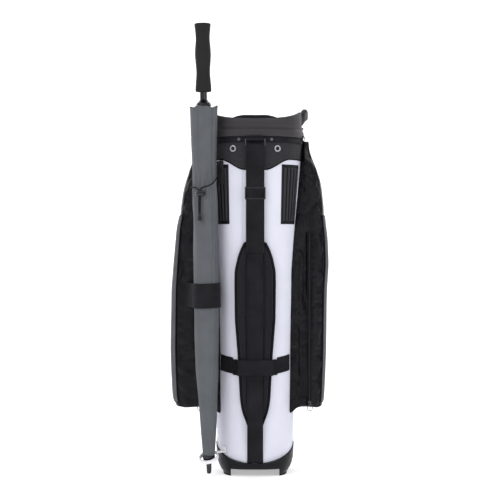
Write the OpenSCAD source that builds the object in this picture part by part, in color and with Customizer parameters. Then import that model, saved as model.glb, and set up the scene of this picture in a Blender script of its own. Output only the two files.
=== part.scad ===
// Golf cart bag with a 14-way divided top, side and front pockets, a shoulder strap on the
// spine and a golf umbrella carried in its holder.
// Millimetres. Origin: centre of the sole on the ground. +Z up, -Y is the spine (strap) side,
// +Y the pocket front, +X the right-hand side seen from the spine side.

/* [Body] */
// Half width of the body above the base
base_half_w = 94; // [88:1:100]
// Half width of the body under the collar
top_half_w = 117; // [112:1:122]
// Depth of the plan outline divided by its width
depth_ratio = 1.06; // [1:0.01:1.1]
// Exponent of the plan outline, 2 is an ellipse
squareness = 2.4; // [2.2:0.1:2.8]
// Height where the fabric body ends and the collar starts
collar_z = 826; // [800:1:840]
// Height of the collar rim at the spine
rim_back_z = 869.5; // [862:0.5:880]
// Height of the collar rim at the sides
rim_side_z = 896; // [886:1:900]

/* [Shoulder strap] */
// Width of the upper webbing
web_w = 43; // [38:1:46]
// Width of the webbing below the pad's top
lower_web_w = 37; // [32:1:40]
// Thickness of the shoulder pad
pad_t = 10; // [8:1:12]
// Length of the slider along the strap
slider_h = 30; // [24:1:34]

/* [Pockets] */
// Furthest reach of the right pocket from the bag's axis
pocket_reach_right = 185; // [175:1:190]
// Furthest reach of the left pocket from the bag's axis
pocket_reach_left = 211; // [195:1:212]
// Distance from the axis to the ball pocket's front
ball_pocket_y = 184; // [170:1:190]
// Distance from the axis to the cooler pocket's front
cooler_pocket_y = 172; // [160:1:180]
// Distance from the axis to the accessory pocket's front
accessory_pocket_y = 158; // [150:1:164]

/* [Umbrella] */
// Length of the umbrella from tip to grip end
umbrella_len = 1091; // [1060:1:1100]
// Radius of the shaft
shaft_r = 7; // [6:0.5:7.5]
// Diameter of the elastic cord
cord_d = 3; // [2.5:0.5:3]

/* [Hidden] */

// Colours
black = [0.09, 0.09, 0.10];
charcoal = [0.22, 0.22, 0.23];
grey = [0.40, 0.42, 0.43];
white = [0.88, 0.88, 0.93];
silver = [0.72, 0.72, 0.74];

// Clearance between neighbouring layers and parts
gap = 0.3;
// Heights of the body
taper_z = 60;
floor_z = 22;
seat_z = 26;
recess_z = 17;
sole_t = 4;
trim_z = 811;
divider_z = 846;
rail_h = 16;
// Wall layers, as offsets from the fabric's outer surface
shell_in = -2.4;
liner_out = -2.6;
liner_in = -5;
skirt_out = -5.2;
skirt_in = -7.7;
sides = 48;

// ---------- outline of the body ----------
function bent(v) = sign(v) * pow(abs(v), 2 / squareness);
function half_w(z) =
  base_half_w + (top_half_w - base_half_w) * (min(z, collar_z) - taper_z) / (collar_z - taper_z);
function outline(t, a) = [a * bent(cos(t)), depth_ratio * a * bent(sin(t))];
function wall_pt(t, z, off) = concat(outline(t, half_w(z) + off), z);
function chord_x(y, a) =
  a * pow(1 - pow(abs(y) / (depth_ratio * a), squareness), 1 / squareness);
function chord_y(x, a) =
  depth_ratio * a * pow(1 - pow(abs(x) / a, squareness), 1 / squareness);
// Direction in plan of the wall's outward normal at t, in degrees
function wall_normal(t) =
  let (c = outline(t, 1))
  atan2(sign(c.y) * pow(abs(c.y) / depth_ratio, squareness - 1) / depth_ratio,
        sign(c.x) * pow(abs(c.x), squareness - 1));
function ease(s) = let (u = min(1, max(0, s))) u * u * (3 - 2 * u);
function ramp(v, v0, v1) = min(1, max(0, (v - v0) / (v1 - v0)));
// Top edge of the base, low at the spine and high at the sides
function base_edge(t) = 31 + 44 * (1 - sqrt(max(0, 1 - pow(bent(cos(t)), 2))));
// Lower edge of the yoke, a soft point at the spine
function yoke_edge(t) = 745 + 26 * ease((abs(outline(t, 115).x) - 25) / 60);
// Rim of the collar, dipping towards the spine
function rim_z(t) =
  let (y = outline(t, top_half_w).y)
  rim_side_z - (rim_side_z - rim_back_z) * ramp(-y, 35, depth_ratio * top_half_w)
  - 4 * ramp(y, 35, depth_ratio * top_half_w);
all_t = [for (i = [0 : sides - 1]) 360 * i / sides];

// ---------- solids from rings of points ----------
function quad_faces(m, n, wrap_rings) = [
  for (j = [0 : (wrap_rings ? m - 1 : m - 2)], i = [0 : n - 1])
    let (a = j * n + i, b = j * n + (i + 1) % n,
         c = ((j + 1) % m) * n + (i + 1) % n, d = ((j + 1) % m) * n + i)
    each [[a, c, b], [a, d, c]]
];
function joined(lists) = [for (l = lists, p = l) p];
// Closed skin through rings: a torus if wrap is true, otherwise with flat ends
module skin(rings, wrap = false) {
  m = len(rings);
  n = len(rings[0]);
  ends = wrap ? [] : [[for (i = [0 : n - 1]) i], [for (i = [n - 1 : -1 : 0]) (m - 1) * n + i]];
  polyhedron(joined(rings), concat(quad_faces(m, n, wrap), ends));
}
// Band all round the body between two edges and two offsets
module band(z_lo, z_hi, off_in, off_out) {
  skin([
    [for (i = [0 : sides - 1]) wall_pt(all_t[i], z_lo[i], off_out)],
    [for (i = [0 : sides - 1]) wall_pt(all_t[i], z_hi[i], off_out)],
    [for (i = [0 : sides - 1]) wall_pt(all_t[i], z_hi[i], off_in)],
    [for (i = [0 : sides - 1]) wall_pt(all_t[i], z_lo[i], off_in)]
  ], true);
}
function level(z) = [for (t = all_t) z];
// Patch on the wall: t runs from t0 to t1, and the outer offset is a function value per column
module wall_patch(z0, z1, t0_lo, t1_lo, t0_hi, t1_hi, off_in, offs_out) {
  n = len(offs_out) - 1;
  function row(z, t0, t1) = concat(
    [for (i = [0 : n]) wall_pt(t0 + (t1 - t0) * i / n, z, offs_out[i])],
    [for (i = [n : -1 : 0]) wall_pt(t0 + (t1 - t0) * i / n, z, off_in)]);
  skin([row(z0, t0_lo, t1_lo), row(z1, t0_hi, t1_hi)]);
}
// Strip of constant thickness along a line of points, as a 2D outline
function side_of(p, i) =
  let (a = p[max(0, i - 1)], b = p[min(len(p) - 1, i + 1)], d = b - a)
  [-d.y, d.x] / norm(d);
module strip(p, t) {
  n = len(p);
  polygon(concat([for (i = [0 : n - 1]) p[i] + side_of(p, i) * t / 2],
                 [for (i = [n - 1 : -1 : 0]) p[i] - side_of(p, i) * t / 2]));
}
module rounded_box(size, r) {
  linear_extrude(size.z, center = true) {
    square([size.x - 2 * r, size.y], center = true);
    square([size.x, size.y - 2 * r], center = true);
    for (x = [-1, 1], y = [-1, 1])
      translate([x * (size.x / 2 - r), y * (size.y / 2 - r)]) circle(r, $fn = 24);
  }
}
// Catmull-Rom point between p1 and p2
function spline_pt(p0, p1, p2, p3, s) =
  0.5 * (2 * p1 + (p2 - p0) * s + (2 * p0 - 5 * p1 + 4 * p2 - p3) * s * s
         + (3 * p1 - p0 - 3 * p2 + p3) * s * s * s);
function smooth_line(p, steps) = let (n = len(p) - 1) concat(
  [for (i = [0 : n - 1], k = [0 : steps - 1])
    spline_pt(p[max(0, i - 1)], p[i], p[i + 1], p[min(n, i + 2)], k / steps)],
  [p[n]]);
// Round tube along a smooth line
function unit(v) = v / norm(v);
module tube(line, d, n = 8) {
  m = len(line);
  skin([for (j = [0 : m - 1])
    let (dir = unit(line[min(m - 1, j + 1)] - line[max(0, j - 1)]),
         u = unit(cross(dir, abs(dir.z) > 0.8 ? [0, 1, 0] : [0, 0, 1])),
         v = cross(dir, u))
    [for (i = [0 : n - 1]) line[j] + (u * cos(360 * i / n) + v * sin(360 * i / n)) * d / 2]]);
}

// ---------- base ----------
channel_w = 117;
channel_w_front = 126;
function base_half(z) =
  lookup(z, [[4, 79], [17, 87.5], [26, 92], [34, 94.3], [46, 95.8], [90, 97.6]]);
// The feet are squarer than the body, and deeper
function base_power(z) = 2 / lookup(z, [[4, 3.2], [26, 2.8], [60, squareness]]);
function base_depth(z) = depth_ratio * lookup(z, [[4, 1.24], [17, 1.12], [26, 1.07], [46, 1.03], [90, 1]]);
function base_plan(t, z) =
  let (c = cos(t), s = sin(t), a = base_half(z), q = base_power(z))
  [a * sign(c) * pow(abs(c), q), base_depth(z) * a * sign(s) * pow(abs(s), q)];
// Plan of the open channel that runs under the base from the spine to the front
module channel_plan() {
  polygon([[-channel_w / 2, -120], [channel_w / 2, -120],
           [channel_w_front / 2, 120], [-channel_w_front / 2, 120]]);
}
module rubber_sole() {
  color(black) linear_extrude(sole_t - 0.1) difference() {
    polygon([for (t = all_t) base_plan(t, sole_t)]);
    channel_plan();
  }
}
module base_moulding() {
  function flat(a, z) = [for (t = all_t) concat(outline(t, a), z)];
  function outer(z) = [for (t = all_t) concat(base_plan(t, z), z)];
  function mid(t) = seat_z + 0.45 * (base_edge(t) - seat_z);
  color(black) difference() {
    skin([
      flat(62, recess_z),
      flat(62, sole_t),
      outer(sole_t),
      outer(recess_z),
      outer(seat_z),
      [for (t = all_t) concat(base_plan(t, mid(t)), mid(t))],
      [for (t = all_t) concat(base_plan(t, base_edge(t)), base_edge(t))],
      [for (t = all_t) wall_pt(t, base_edge(t), shell_in)],
      flat(half_w(seat_z) + shell_in, seat_z),
      flat(84, seat_z),
      flat(84, floor_z)
    ]);
    translate([0, 0, -1]) linear_extrude(recess_z + 1) channel_plan();
  }
}

// ---------- body ----------
module liner_tube() {
  color(charcoal) band(level(seat_z + 0.2), level(collar_z), liner_in, liner_out);
}
module body_shell() {
  color(white) band([for (t = all_t) base_edge(t) + 0.2], level(collar_z), shell_in, 0);
}
// Frame that lies on the spine: local z runs up the wall and -y points out of it
spine_tilt = atan(depth_ratio * (top_half_w - base_half_w) / (collar_z - taper_z));
module on_spine() {
  translate([0, -depth_ratio * base_half_w, taper_z]) rotate([spine_tilt, 0, 0]) children();
}
function up(z) = (z - taper_z) / cos(spine_tilt);
module spine_stay() {
  stay = [20, 3];
  color(silver) on_spine()
    translate([-stay.x / 2, -depth_ratio * liner_in + 0.6, up(30)])
      cube([stay.x, stay.y, up(785) - up(30)]);
}

// ---------- dividers ----------
row_y = 48;
side_row_x = 27.5;
mid_row_x = 45;
panel_t = 2.5;
rail_w = 7;
panel_z = [27, 845.5];
panel_half = [87.2, 108.6];
rail_half = 108.6;
// Walls along X at each y, and walls along Y at each [x, from y, to y]; 999 means the outer wall
long_walls = [-row_y, 0, row_y];
short_walls = concat(
  [for (s = [-1, 1], x = [-side_row_x, side_row_x]) [x, s * row_y, s * 999]],
  [for (s = [-1, 1], x = [-mid_row_x, 0, mid_row_x]) [x, 0, s * row_y]]);
module long_panel(y, t) {
  b = chord_x(abs(y) + t / 2, panel_half[0]);
  h = chord_x(abs(y) + t / 2, panel_half[1]);
  translate([0, y + t / 2, 0]) rotate([90, 0, 0]) linear_extrude(t)
    polygon([[-b, panel_z[0]], [b, panel_z[0]], [h, panel_z[1]], [-h, panel_z[1]]]);
}
module short_panel(w, t) {
  s = sign(w[2]);
  open_end = abs(w[2]) > 900;
  y0 = s * (abs(w[1]) + t / 2);
  y1 = s * (open_end ? chord_y(abs(w[0]) + t / 2, panel_half[0]) : abs(w[2]) - t / 2);
  y2 = s * (open_end ? chord_y(abs(w[0]) + t / 2, panel_half[1]) : abs(w[2]) - t / 2);
  translate([w[0] - t / 2, 0, 0]) rotate([90, 0, 90]) linear_extrude(t)
    polygon([[y0, panel_z[0]], [y1, panel_z[0]], [y2, panel_z[1]], [y0, panel_z[1]]]);
}
module divider_panels() {
  color(charcoal) {
    for (y = long_walls) long_panel(y, panel_t);
    for (w = short_walls) short_panel(w, panel_t);
  }
}
module divider_top() {
  color(black) {
    for (y = long_walls)
      let (h = chord_x(abs(y) + rail_w / 2, rail_half))
      translate([-h, y - rail_w / 2, divider_z]) cube([2 * h, rail_w, rail_h]);
    for (w = short_walls)
      let (y0 = abs(w[1]) + rail_w / 2,
           y1 = abs(w[2]) > 900 ? chord_y(abs(w[0]) + rail_w / 2, rail_half)
                                : abs(w[2]) - rail_w / 2)
      translate([w[0] - rail_w / 2, w[2] > 0 ? y0 : -y1, divider_z])
        cube([rail_w, y1 - y0, rail_h]);
  }
}

// ---------- collar and handles ----------
window_half_y = 52;
window_half_x = 64;
window_z = 853;
module collar() {
  function ring(z, off) = [for (t = all_t) wall_pt(t, z, off)];
  function rim(drop, off) = [for (t = all_t) wall_pt(t, rim_z(t) - drop, off)];
  color(charcoal) difference() {
    skin([
      ring(collar_z + 0.2, skirt_out),
      ring(collar_z + 0.2, 3.2),
      ring(829, 4.4),
      ring(843, 4.4),
      ring(846, 2.2),
      ring(850, 2.2),
      ring(853, 3.8),
      rim(5, 3.8),
      rim(0, 1.2),
      rim(0, -3),
      rim(4, -5.5),
      ring(850, skirt_in),
      ring(792, skirt_in),
      ring(792, skirt_out)
    ], true);
    for (s = [-1, 1])
      translate([s * 120 - 40, -window_half_y, window_z]) cube([80, 2 * window_half_y, 60]);
    translate([-window_half_x, 90, window_z]) cube([2 * window_half_x, 60, 60]);
  }
}
// Moulded grip bar along Y, centred on its own origin: thin at the ends and fat in the middle
function slot_pt(i, w, h) =
  let (a = 15 * i + 7.5, lift = (h - w) / 2) [w / 2 * cos(a), w / 2 * sin(a) + sign(sin(a)) * lift];
// Along the bar: place, width, what is taken off the height, how far it bows out, share of the drop
bar_shape = [[-1, 9, 5, 0, 1], [-0.9, 10, 4, 3, 0.85], [-0.72, 13, 1.5, 9, 0.4], [-0.45, 15, 0, 14, 0],
             [0, 15.5, 0, 16, 0], [0.45, 15, 0, 14, 0], [0.72, 13, 1.5, 9, 0.4],
             [0.9, 10, 4, 3, 0.85], [1, 9, 5, 0, 1]];
module grip_bar(half_len, height, drop) {
  skin([for (b = bar_shape)
    [for (i = [0 : 23])
      let (p = slot_pt(i, b[1], height - b[2])) [b[3] - p.x, b[0] * half_len, p.y - drop * b[4]]]]);
}
module side_handle(s) {
  mirror([s < 0 ? 1 : 0, 0, 0]) translate([108.5, 0, 887]) grip_bar(window_half_y, 27, 19);
}
module side_handle_right() { color(charcoal) side_handle(1); }
module side_handle_left() { color(charcoal) side_handle(-1); }
module front_handle() {
  color(black) translate([0, 108.5, 888]) rotate([0, 0, 90]) grip_bar(window_half_x, 24, 7);
}

// ---------- trim on the body ----------
module collar_trim_band() {
  color(black) band(level(trim_z + 0.2), level(collar_z), 0.2, 3.4);
}
module yoke() {
  color(charcoal) band([for (t = all_t) yoke_edge(t)], level(trim_z), 0.2, 1.7);
}
// Place on the wall at a given x and z, off its surface; local z is the wall's normal in plan.
// side is -1 at the spine and 1 at the front
module on_wall(x, z, off, side = -1) {
  q = acos(pow(abs(x) / half_w(z), squareness / 2));
  t = side * (x < 0 ? 180 - q : q);
  p = outline(t, half_w(z));
  turn = wall_normal(t);
  translate([p.x + off * cos(turn), p.y + off * sin(turn), z])
    rotate([0, 0, turn]) rotate([0, 90, 0]) children();
}
eyelet_x = 53;
eyelet_z = 797;
module eyelets() {
  color(silver) for (x = [-eyelet_x, eyelet_x])
    on_wall(x, eyelet_z, 2.4) rotate_extrude($fn = 48)
      polygon([[4.1, 0], [8.6, 0], [8.6, 0.6], [7.2, 1.8], [4.8, 1.8], [4.1, 1.2]]);
}
snap_x = 38.5;
snap_z = 818.5;
module snap_stud() {
  cylinder(h = 1.4, r = 3.8, $fn = 32);
  translate([0, 0, 1.4]) cylinder(h = 1.6, r = 2.4, $fn = 32);
}
module hood_snaps() {
  color(silver) for (x = [-snap_x, snap_x], side = [-1, 1])
    on_wall(x, snap_z, 3.8, side) snap_stud();
}

// ---------- shoulder strap ----------
strap_d = 12;
web_t = 2;
ring_top_z = 818.5;
ring_low_z = 804.5;
ring_half_w = 23.5;
ring_wire_r = 1.5;
module on_strap() { on_spine() translate([0, -strap_d, 0]) children(); }
module strap_ring() {
  color(silver) on_strap() {
    for (z = [ring_top_z, ring_low_z])
      translate([-ring_half_w, 0, up(z)]) rotate([0, 90, 0])
        cylinder(h = 2 * ring_half_w, r = ring_wire_r, $fn = 24);
    for (s = [-1, 1]) {
      translate([s * ring_half_w, 0, up(ring_low_z)])
        cylinder(h = up(ring_top_z) - up(ring_low_z), r = ring_wire_r, $fn = 24);
      for (z = [ring_top_z, ring_low_z])
        translate([s * ring_half_w, 0, up(z)]) sphere(ring_wire_r, $fn = 24);
    }
  }
}
// Webbing folded round a bar and sewn: an eye and the tongue that leaves it
module web_eye(w, tongue_pts, hole_r) {
  rotate([90, 0, 90]) translate([0, 0, -w / 2]) difference() {
    union() {
      cylinder(h = w, r = hole_r + web_t, $fn = 40);
      linear_extrude(w) strip(tongue_pts, web_t);
    }
    translate([0, 0, -1]) cylinder(h = w + 2, r = hole_r, $fn = 40);
  }
}
module ring_anchor_tab() {
  color(black) on_strap() translate([0, 0, up(ring_top_z)])
    web_eye(web_w - 2, [[2.4, 1.6], [6.5, 4.4], [7.4, 7]], ring_wire_r + 0.06);
}
pad_top_z = 568;
pad_low_z = 126;
web_end_z = 543;
module strap_webbing_upper() {
  color(black) on_strap() translate([0, 0, up(ring_low_z)])
    web_eye(web_w, [[0, -3], [0, -40], [0, up(web_end_z) - up(ring_low_z)]], 2.4);
}
slider_z = 688.5;
module strap_slider() {
  bar = 4;
  half = 25;
  color(black) on_strap() translate([0, 0, up(slider_z)]) {
    for (s = [-1, 1]) {
      translate([s * (half - 1.5), 0, 0]) cube([3, 6, slider_h], center = true);
      translate([0, -2.1, s * (slider_h - bar) / 2]) cube([2 * half, 1.8, bar], center = true);
    }
    translate([0, 2.1, 0]) cube([2 * half, 1.8, bar + 3], center = true);
  }
}
// Half widths of the pad up its length
pad_shape = [[126, 19], [138, 24], [160, 32], [187, 36.5], [292, 42], [382, 49],
             [470, 50], [500, 49.5], [534, 42], [558, 33], [568, 26]];
module shoulder_pad() {
  color(charcoal) on_spine() translate([0, -0.8, 0]) rotate([90, 0, 0]) linear_extrude(pad_t)
    polygon(concat([for (p = pad_shape) [p[1], up(p[0])]],
                   [for (i = [len(pad_shape) - 1 : -1 : 0]) [-pad_shape[i][1], up(pad_shape[i][0])]]));
}
module strap_webbing_lower() {
  color(black) on_strap() rotate([90, 0, 90]) translate([0, 0, -lower_web_w / 2])
    linear_extrude(lower_web_w)
      strip([[0, up(web_end_z - 0.3)], [0, up(300)], [0, up(123)], [1.2, up(108)],
             [5, up(80)], [9, up(50)], [9.6, up(32.5)]], web_t);
}
keeper_z = [247, 284];
module strap_keeper() {
  color(black) on_spine() translate([0, 0, up(keeper_z[0])])
    mirror([0, 1, 0]) linear_extrude(keeper_z[1] - keeper_z[0])
      strip([[-54, -8.8], [-48, -6.6], [-44.6, -3], [-43.4, 3], [-43, 9], [-39.4, 14.4],
             [39.4, 14.4], [43, 9], [43.4, 3], [44.6, -3], [48, -6.6], [54, -8.8]], 1.6);
}
cross_z = [254, 292];
module cross_band() {
  columns = 8;
  color(black) for (s = [0, 1]) mirror([s, 0, 0])
    wall_patch(cross_z[0], cross_z[1], -62, -37.5, -62, -37.5, 0.3,
               [for (i = [0 : columns]) 2.1]);
}

// ---------- ribbed side panels ----------
module ribbed_panel(s) {
  ribs = 5;
  // each rib rises from the plate and falls back
  offs = concat([1.8, 1.8], [for (i = [1 : ribs]) each [3.8, 3.8, 1.8, 1.8]]);
  mirror([s < 0 ? 1 : 0, 0, 0])
    wall_patch(614, 759, -60, -33.5, -60, -25, 0.3, offs);
}
module ribbed_panel_right() { color(black) ribbed_panel(1); }
module ribbed_panel_left() { color(black) ribbed_panel(-1); }

// ---------- side pockets ----------
zip_x = 133;
zip_y = -66;
zip_turn = 14;
// Share of the full reach, up each pocket
right_shape = [[163, 0.84], [186, 0.866], [246, 0.896], [306, 0.916], [426, 0.93], [456, 0.94],
               [516, 0.99], [576, 0.962], [636, 0.872], [666, 0.802], [696, 0.751], [726, 0.659],
               [756, 0.488], [786, 0.294], [809, 0.15]];
left_shape = [[163, 0.9], [186, 0.957], [246, 0.984], [306, 1], [396, 0.984], [456, 0.975],
              [516, 0.93], [546, 0.904], [606, 0.851], [666, 0.72], [696, 0.68], [726, 0.594],
              [756, 0.48], [786, 0.34], [809, 0.16]];
function back_seam(z) = -lookup(z, [[160, 31.7], [300, 35.2], [502, 38], [615, 31.6],
                                    [713, 21.9], [770, 14.6], [825, 6]]);
front_seam = 44;
face_t = 3;
// Outer edge of the pocket at height z, from the back seam round to the front seam
function pocket_edge(z, reach, shape) =
  let (k = lookup(z, shape),
       wall = pocket_wall(z),
       s = wall_pt(back_seam(z), z, wall),
       f = wall_pt(front_seam, z, wall),
       side = half_w(z) + wall,
       x = side + (reach - face_t - side) * k,
       full = ramp(k, 0.1, 0.75),
       back_y = zip_y * full + (1 - full) * (s.y - 4),
       corner_y = -50 * full - 22 * (1 - full))
  smooth_line([
    [s.x, s.y],
    [s.x + 0.3 * (zip_x - s.x) * full + 2, s.y * 0.55 + back_y * 0.45 - 2],
    [s.x + (zip_x - s.x) * full + 4 * (1 - full), back_y],
    [side + (x - side) * 0.88, corner_y],
    [x - 2, corner_y * 0.45],
    [x, 8],
    [x - 5, 46 * full + 30 * (1 - full)],
    [side + (x - side) * 0.74, 82 * full + 50 * (1 - full)],
    [f.x + 0.4 * (x - f.x) * full + 1, (92 * full + 64 * (1 - full))],
    [f.x, f.y]
  ], 3);
function pocket_ring(z, reach, shape) =
  let (steps = 10)
  concat([for (p = pocket_edge(z, reach, shape)) [p.x, p.y, z]],
         [for (i = [1 : steps - 1])
           wall_pt(front_seam + (back_seam(z) - front_seam) * i / steps, z, pocket_wall(z))]);
pocket_levels = [163, 176, 240, 306, 396, 456, 516, 576, 636, 696, 740, 756, 786, 809];
// Standoff from the fabric, larger over the yoke
function pocket_wall(z) = z < 745 ? 0.5 : 2.2;
module side_pocket(reach, shape) {
  skin([for (z = pocket_levels) pocket_ring(z, reach, shape)]);
}
module side_pocket_right() { color(black) side_pocket(pocket_reach_right, right_shape); }
module side_pocket_left() {
  color(black) mirror([1, 0, 0]) side_pocket(pocket_reach_left, left_shape);
}
// Stiff outer panel of the pocket, a skin over its outward part
face_from = 9;
face_to = 21;
module pocket_face(reach, shape) {
  function row(z) =
    let (e = pocket_edge(z, reach, shape), c = [half_w(z) * 0.5, 0])
    concat([for (i = [face_from : face_to]) concat(e[i] + unit(e[i] - c) * 0.3, z)],
           [for (i = [face_to : -1 : face_from]) concat(e[i] + unit(e[i] - c) * face_t, z)]);
  skin([for (i = [1 : 8]) row(pocket_levels[i])]);
}
module pocket_face_right() { color(grey) pocket_face(pocket_reach_right, right_shape); }
module pocket_face_left() {
  color(grey) mirror([1, 0, 0]) pocket_face(pocket_reach_left, left_shape);
}

// Zips that run up the back of the side pockets
side_zip_z = [168, 596];
side_zip_rest_z = 175;
module on_side_zip(s) {
  mirror([s < 0 ? 1 : 0, 0, 0]) translate([zip_x, zip_y - 2.4, 0]) rotate([0, 0, zip_turn])
    children();
}
module side_zips() {
  color(black) for (s = [-1, 1]) on_side_zip(s)
    translate([-5, -1, side_zip_z[0]]) cube([10, 1, side_zip_z[1] - side_zip_z[0]]);
}
// Zip slider: body with a bridge over the pull's eye. The front is -Y and the pull hangs down
bridge_r = 1;
module zip_slider_body() {
  translate([0, -1.5, 0]) rotate([90, 0, 0]) rounded_box([8, 11, 2], 2);
  for (s = [-1, 1]) translate([s * 2.9, -4, -1]) cube([1.2, 3.2, 3], center = true);
  translate([-3.4, -4.6, -1]) rotate([0, 90, 0]) cylinder(h = 6.8, r = bridge_r, $fn = 24);
}
module side_zip_slider(s) {
  on_side_zip(s) translate([0, -1.3, side_zip_rest_z]) zip_slider_body();
}
module side_zip_slider_right() { color(charcoal) side_zip_slider(1); }
module side_zip_slider_left() { color(charcoal) side_zip_slider(-1); }
// Wire ring that hangs on the slider's bridge
pull_ring_r = 6.9;
pull_wire_r = 0.9;
module pull_ring(s) {
  on_side_zip(s) translate([0, -5.9, side_zip_rest_z - 1]) {
    pull_eye(2.2);
    translate([0, 0, -3 - pull_ring_r]) rotate([90, 0, 0]) rotate_extrude($fn = 48)
      translate([pull_ring_r, 0]) circle(pull_wire_r, $fn = 20);
  }
}
// Small eye that turns on a bridge, axis along X
module pull_eye(w) {
  translate([-w / 2, 0, 0]) rotate([0, 90, 0]) difference() {
    union() {
      cylinder(h = w, r = bridge_r + 1.06, $fn = 32);
      translate([0, -0.8, 0]) cube([3.2, 1.6, w]);
    }
    translate([0, 0, -1]) cylinder(h = w + 2, r = bridge_r + 0.06, $fn = 32);
  }
}
module pull_ring_right() { color(grey) pull_ring(1); }
module pull_ring_left() { color(grey) pull_ring(-1); }

// ---------- front pockets ----------
// [bottom z, top z, distance of the front from the axis, half width]
ball = [96, 300, ball_pocket_y, 70];
cooler = [318, 520, cooler_pocket_y, 68];
accessory = [538, 728, accessory_pocket_y, 64];
pocket_t = 54;
function front_ring(z, y_front, w) =
  let (steps = 10, wall = 0.5, r = 22)
  concat(
    [for (i = [0 : steps]) wall_pt(pocket_t + (180 - 2 * pocket_t) * i / steps, z, wall)],
    [for (i = [0 : 5]) [-w + r - r * cos(18 * i), y_front - r + r * sin(18 * i), z]],
    [for (i = [5 : -1 : 0]) [w - r + r * cos(18 * i), y_front - r + r * sin(18 * i), z]]);
module front_pocket(p) {
  lift = 10;
  skin([
    front_ring(p[0], p[2] - 9, p[3] - 3),
    front_ring(p[0] + lift, p[2], p[3]),
    front_ring(p[1] - lift, p[2], p[3]),
    front_ring(p[1], p[2] - 9, p[3] - 3)
  ]);
}
module ball_pocket() { color(white) front_pocket(ball); }
module cooler_pocket() { color(grey) front_pocket(cooler); }
module accessory_pocket() { color(black) front_pocket(accessory); }
zip_half = 44;
zip_below = 26;
slider_rest_x = 40;
module on_front_zip(p) {
  translate([0, p[2] + 0.4, p[1] - zip_below]) rotate([0, 0, 180]) children();
}
module front_zips() {
  color(black) for (p = [ball, cooler, accessory]) on_front_zip(p)
    translate([-zip_half - 3, -1, -5]) cube([2 * zip_half + 6, 1, 10]);
}
// Sliders run along X; each stands at the right-hand end of its zip
module front_slider(p) {
  on_front_zip(p) translate([-slider_rest_x, -1.3, 0]) zip_slider_body();
}
module front_pull(p) {
  on_front_zip(p) translate([-slider_rest_x, -5.9, -1]) {
    pull_eye(2.2);
    translate([0, 0, -15.5]) rotate([90, 0, 0]) rounded_box([5, 25, 2], 1.6);
  }
}
module ball_zip_slider() { color(charcoal) front_slider(ball); }
module cooler_zip_slider() { color(charcoal) front_slider(cooler); }
module accessory_zip_slider() { color(charcoal) front_slider(accessory); }
module ball_zip_pull() { color(grey) front_pull(ball); }
module cooler_zip_pull() { color(grey) front_pull(cooler); }
module accessory_zip_pull() { color(grey) front_pull(accessory); }

// ---------- umbrella ----------
umbrella_foot = [-112, -105, 8];
umbrella_lean = [0.892, -0.81];
umbrella_dir = [sin(umbrella_lean[1]) * cos(umbrella_lean[0]), -sin(umbrella_lean[0]),
                cos(umbrella_lean[1]) * cos(umbrella_lean[0])];
function umbrella_axis(z) = umbrella_foot + umbrella_dir * (z - umbrella_foot.z) / umbrella_dir.z;
module on_umbrella() {
  translate(umbrella_foot) rotate([umbrella_lean[0], umbrella_lean[1], 0]) children();
}
module turned(outer, inner) {
  rotate_extrude($fn = 64)
    polygon(concat(outer, [for (i = [len(inner) - 1 : -1 : 0]) inner[i]]));
}
module umbrella_ferrule() {
  color(black) on_umbrella() turned(
    [[0.01, 0], [4, 0], [5.4, 2], [6.8, 24], [8, 26], [13.5, 32], [15.6, 43.6], [14.6, 43.6]],
    [[0.01, 25], [shaft_r + 0.02, 25], [shaft_r + 0.02, 36], [12.6, 36]]);
}
grip_s = [926, umbrella_len];
dome_s = 892;
neck_s = 906;
neck_r = 8.9;
module umbrella_shaft() {
  color(charcoal) on_umbrella() translate([0, 0, 25.2]) cylinder(h = neck_s - 25.4, r = shaft_r, $fn = 48);
}
canopy_s = [44, 888];
canopy_outer = [[14.4, 44], [16.2, 60], [19.4, 100], [21.4, 138], [23.5, 186], [28, 254],
                [30.2, 400], [30.2, 540], [30.2, 660], [29.2, 690], [28.6, 715], [29.8, 760],
                [32, 833], [33.6, 888]];
module umbrella_canopy() {
  color(grey) on_umbrella() turned(
    canopy_outer,
    [[shaft_r + 0.05, 44], [shaft_r + 0.05, 58], [13.5, 70], [13.5, 120], [16, 200], [24, 400],
     [25, 640], [22, 690], [22, 715], [26, 860], [31, 888]]);
}
rib_r = 1.4;
module umbrella_ribs() {
  color(silver) on_umbrella() for (i = [0 : 7]) rotate([0, 0, 45 * i + 10])
    translate([10.5, 0, 72]) cylinder(h = 815, r = rib_r, $fn = 16);
}
button_s = 916;
button_r = 3.2;
module umbrella_housing() {
  color(black) on_umbrella() difference() {
    turned([[0.01, neck_s], [shaft_r + 0.05, neck_s], [shaft_r + 0.05, dome_s - 2], [14, dome_s - 2],
            [19.4, dome_s], [17.5, dome_s + 6], [12, dome_s + 11], [neck_r, dome_s + 15],
            [neck_r, 1062]],
           [[0.01, 1062]]);
    translate([0, 0, button_s]) rotate([90, 0, 0])
      translate([0, 0, 2]) cylinder(h = 12, r = button_r + 0.08, $fn = 32);
  }
}
module umbrella_button() {
  color(charcoal) on_umbrella() translate([0, -4.6, button_s]) rotate([90, 0, 0])
    cylinder(h = 6.8, r = button_r, $fn = 32);
}
module umbrella_grip() {
  color(charcoal) on_umbrella() turned(
    [[18.6, grip_s[0]], [19.6, grip_s[0] + 2], [19, 940], [16.8, 966], [16.6, 975], [17.8, 992],
     [19.4, 1012], [19, 1028], [17.2, 1048], [16.9, 1058], [18.4, 1076], [20.2, 1089],
     [19.4, grip_s[1]]],
    [[neck_r + 0.05, grip_s[0]], [neck_r + 0.05, 1062.2], [0.01, 1062.2], [0.01, grip_s[1]]]);
}

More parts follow.
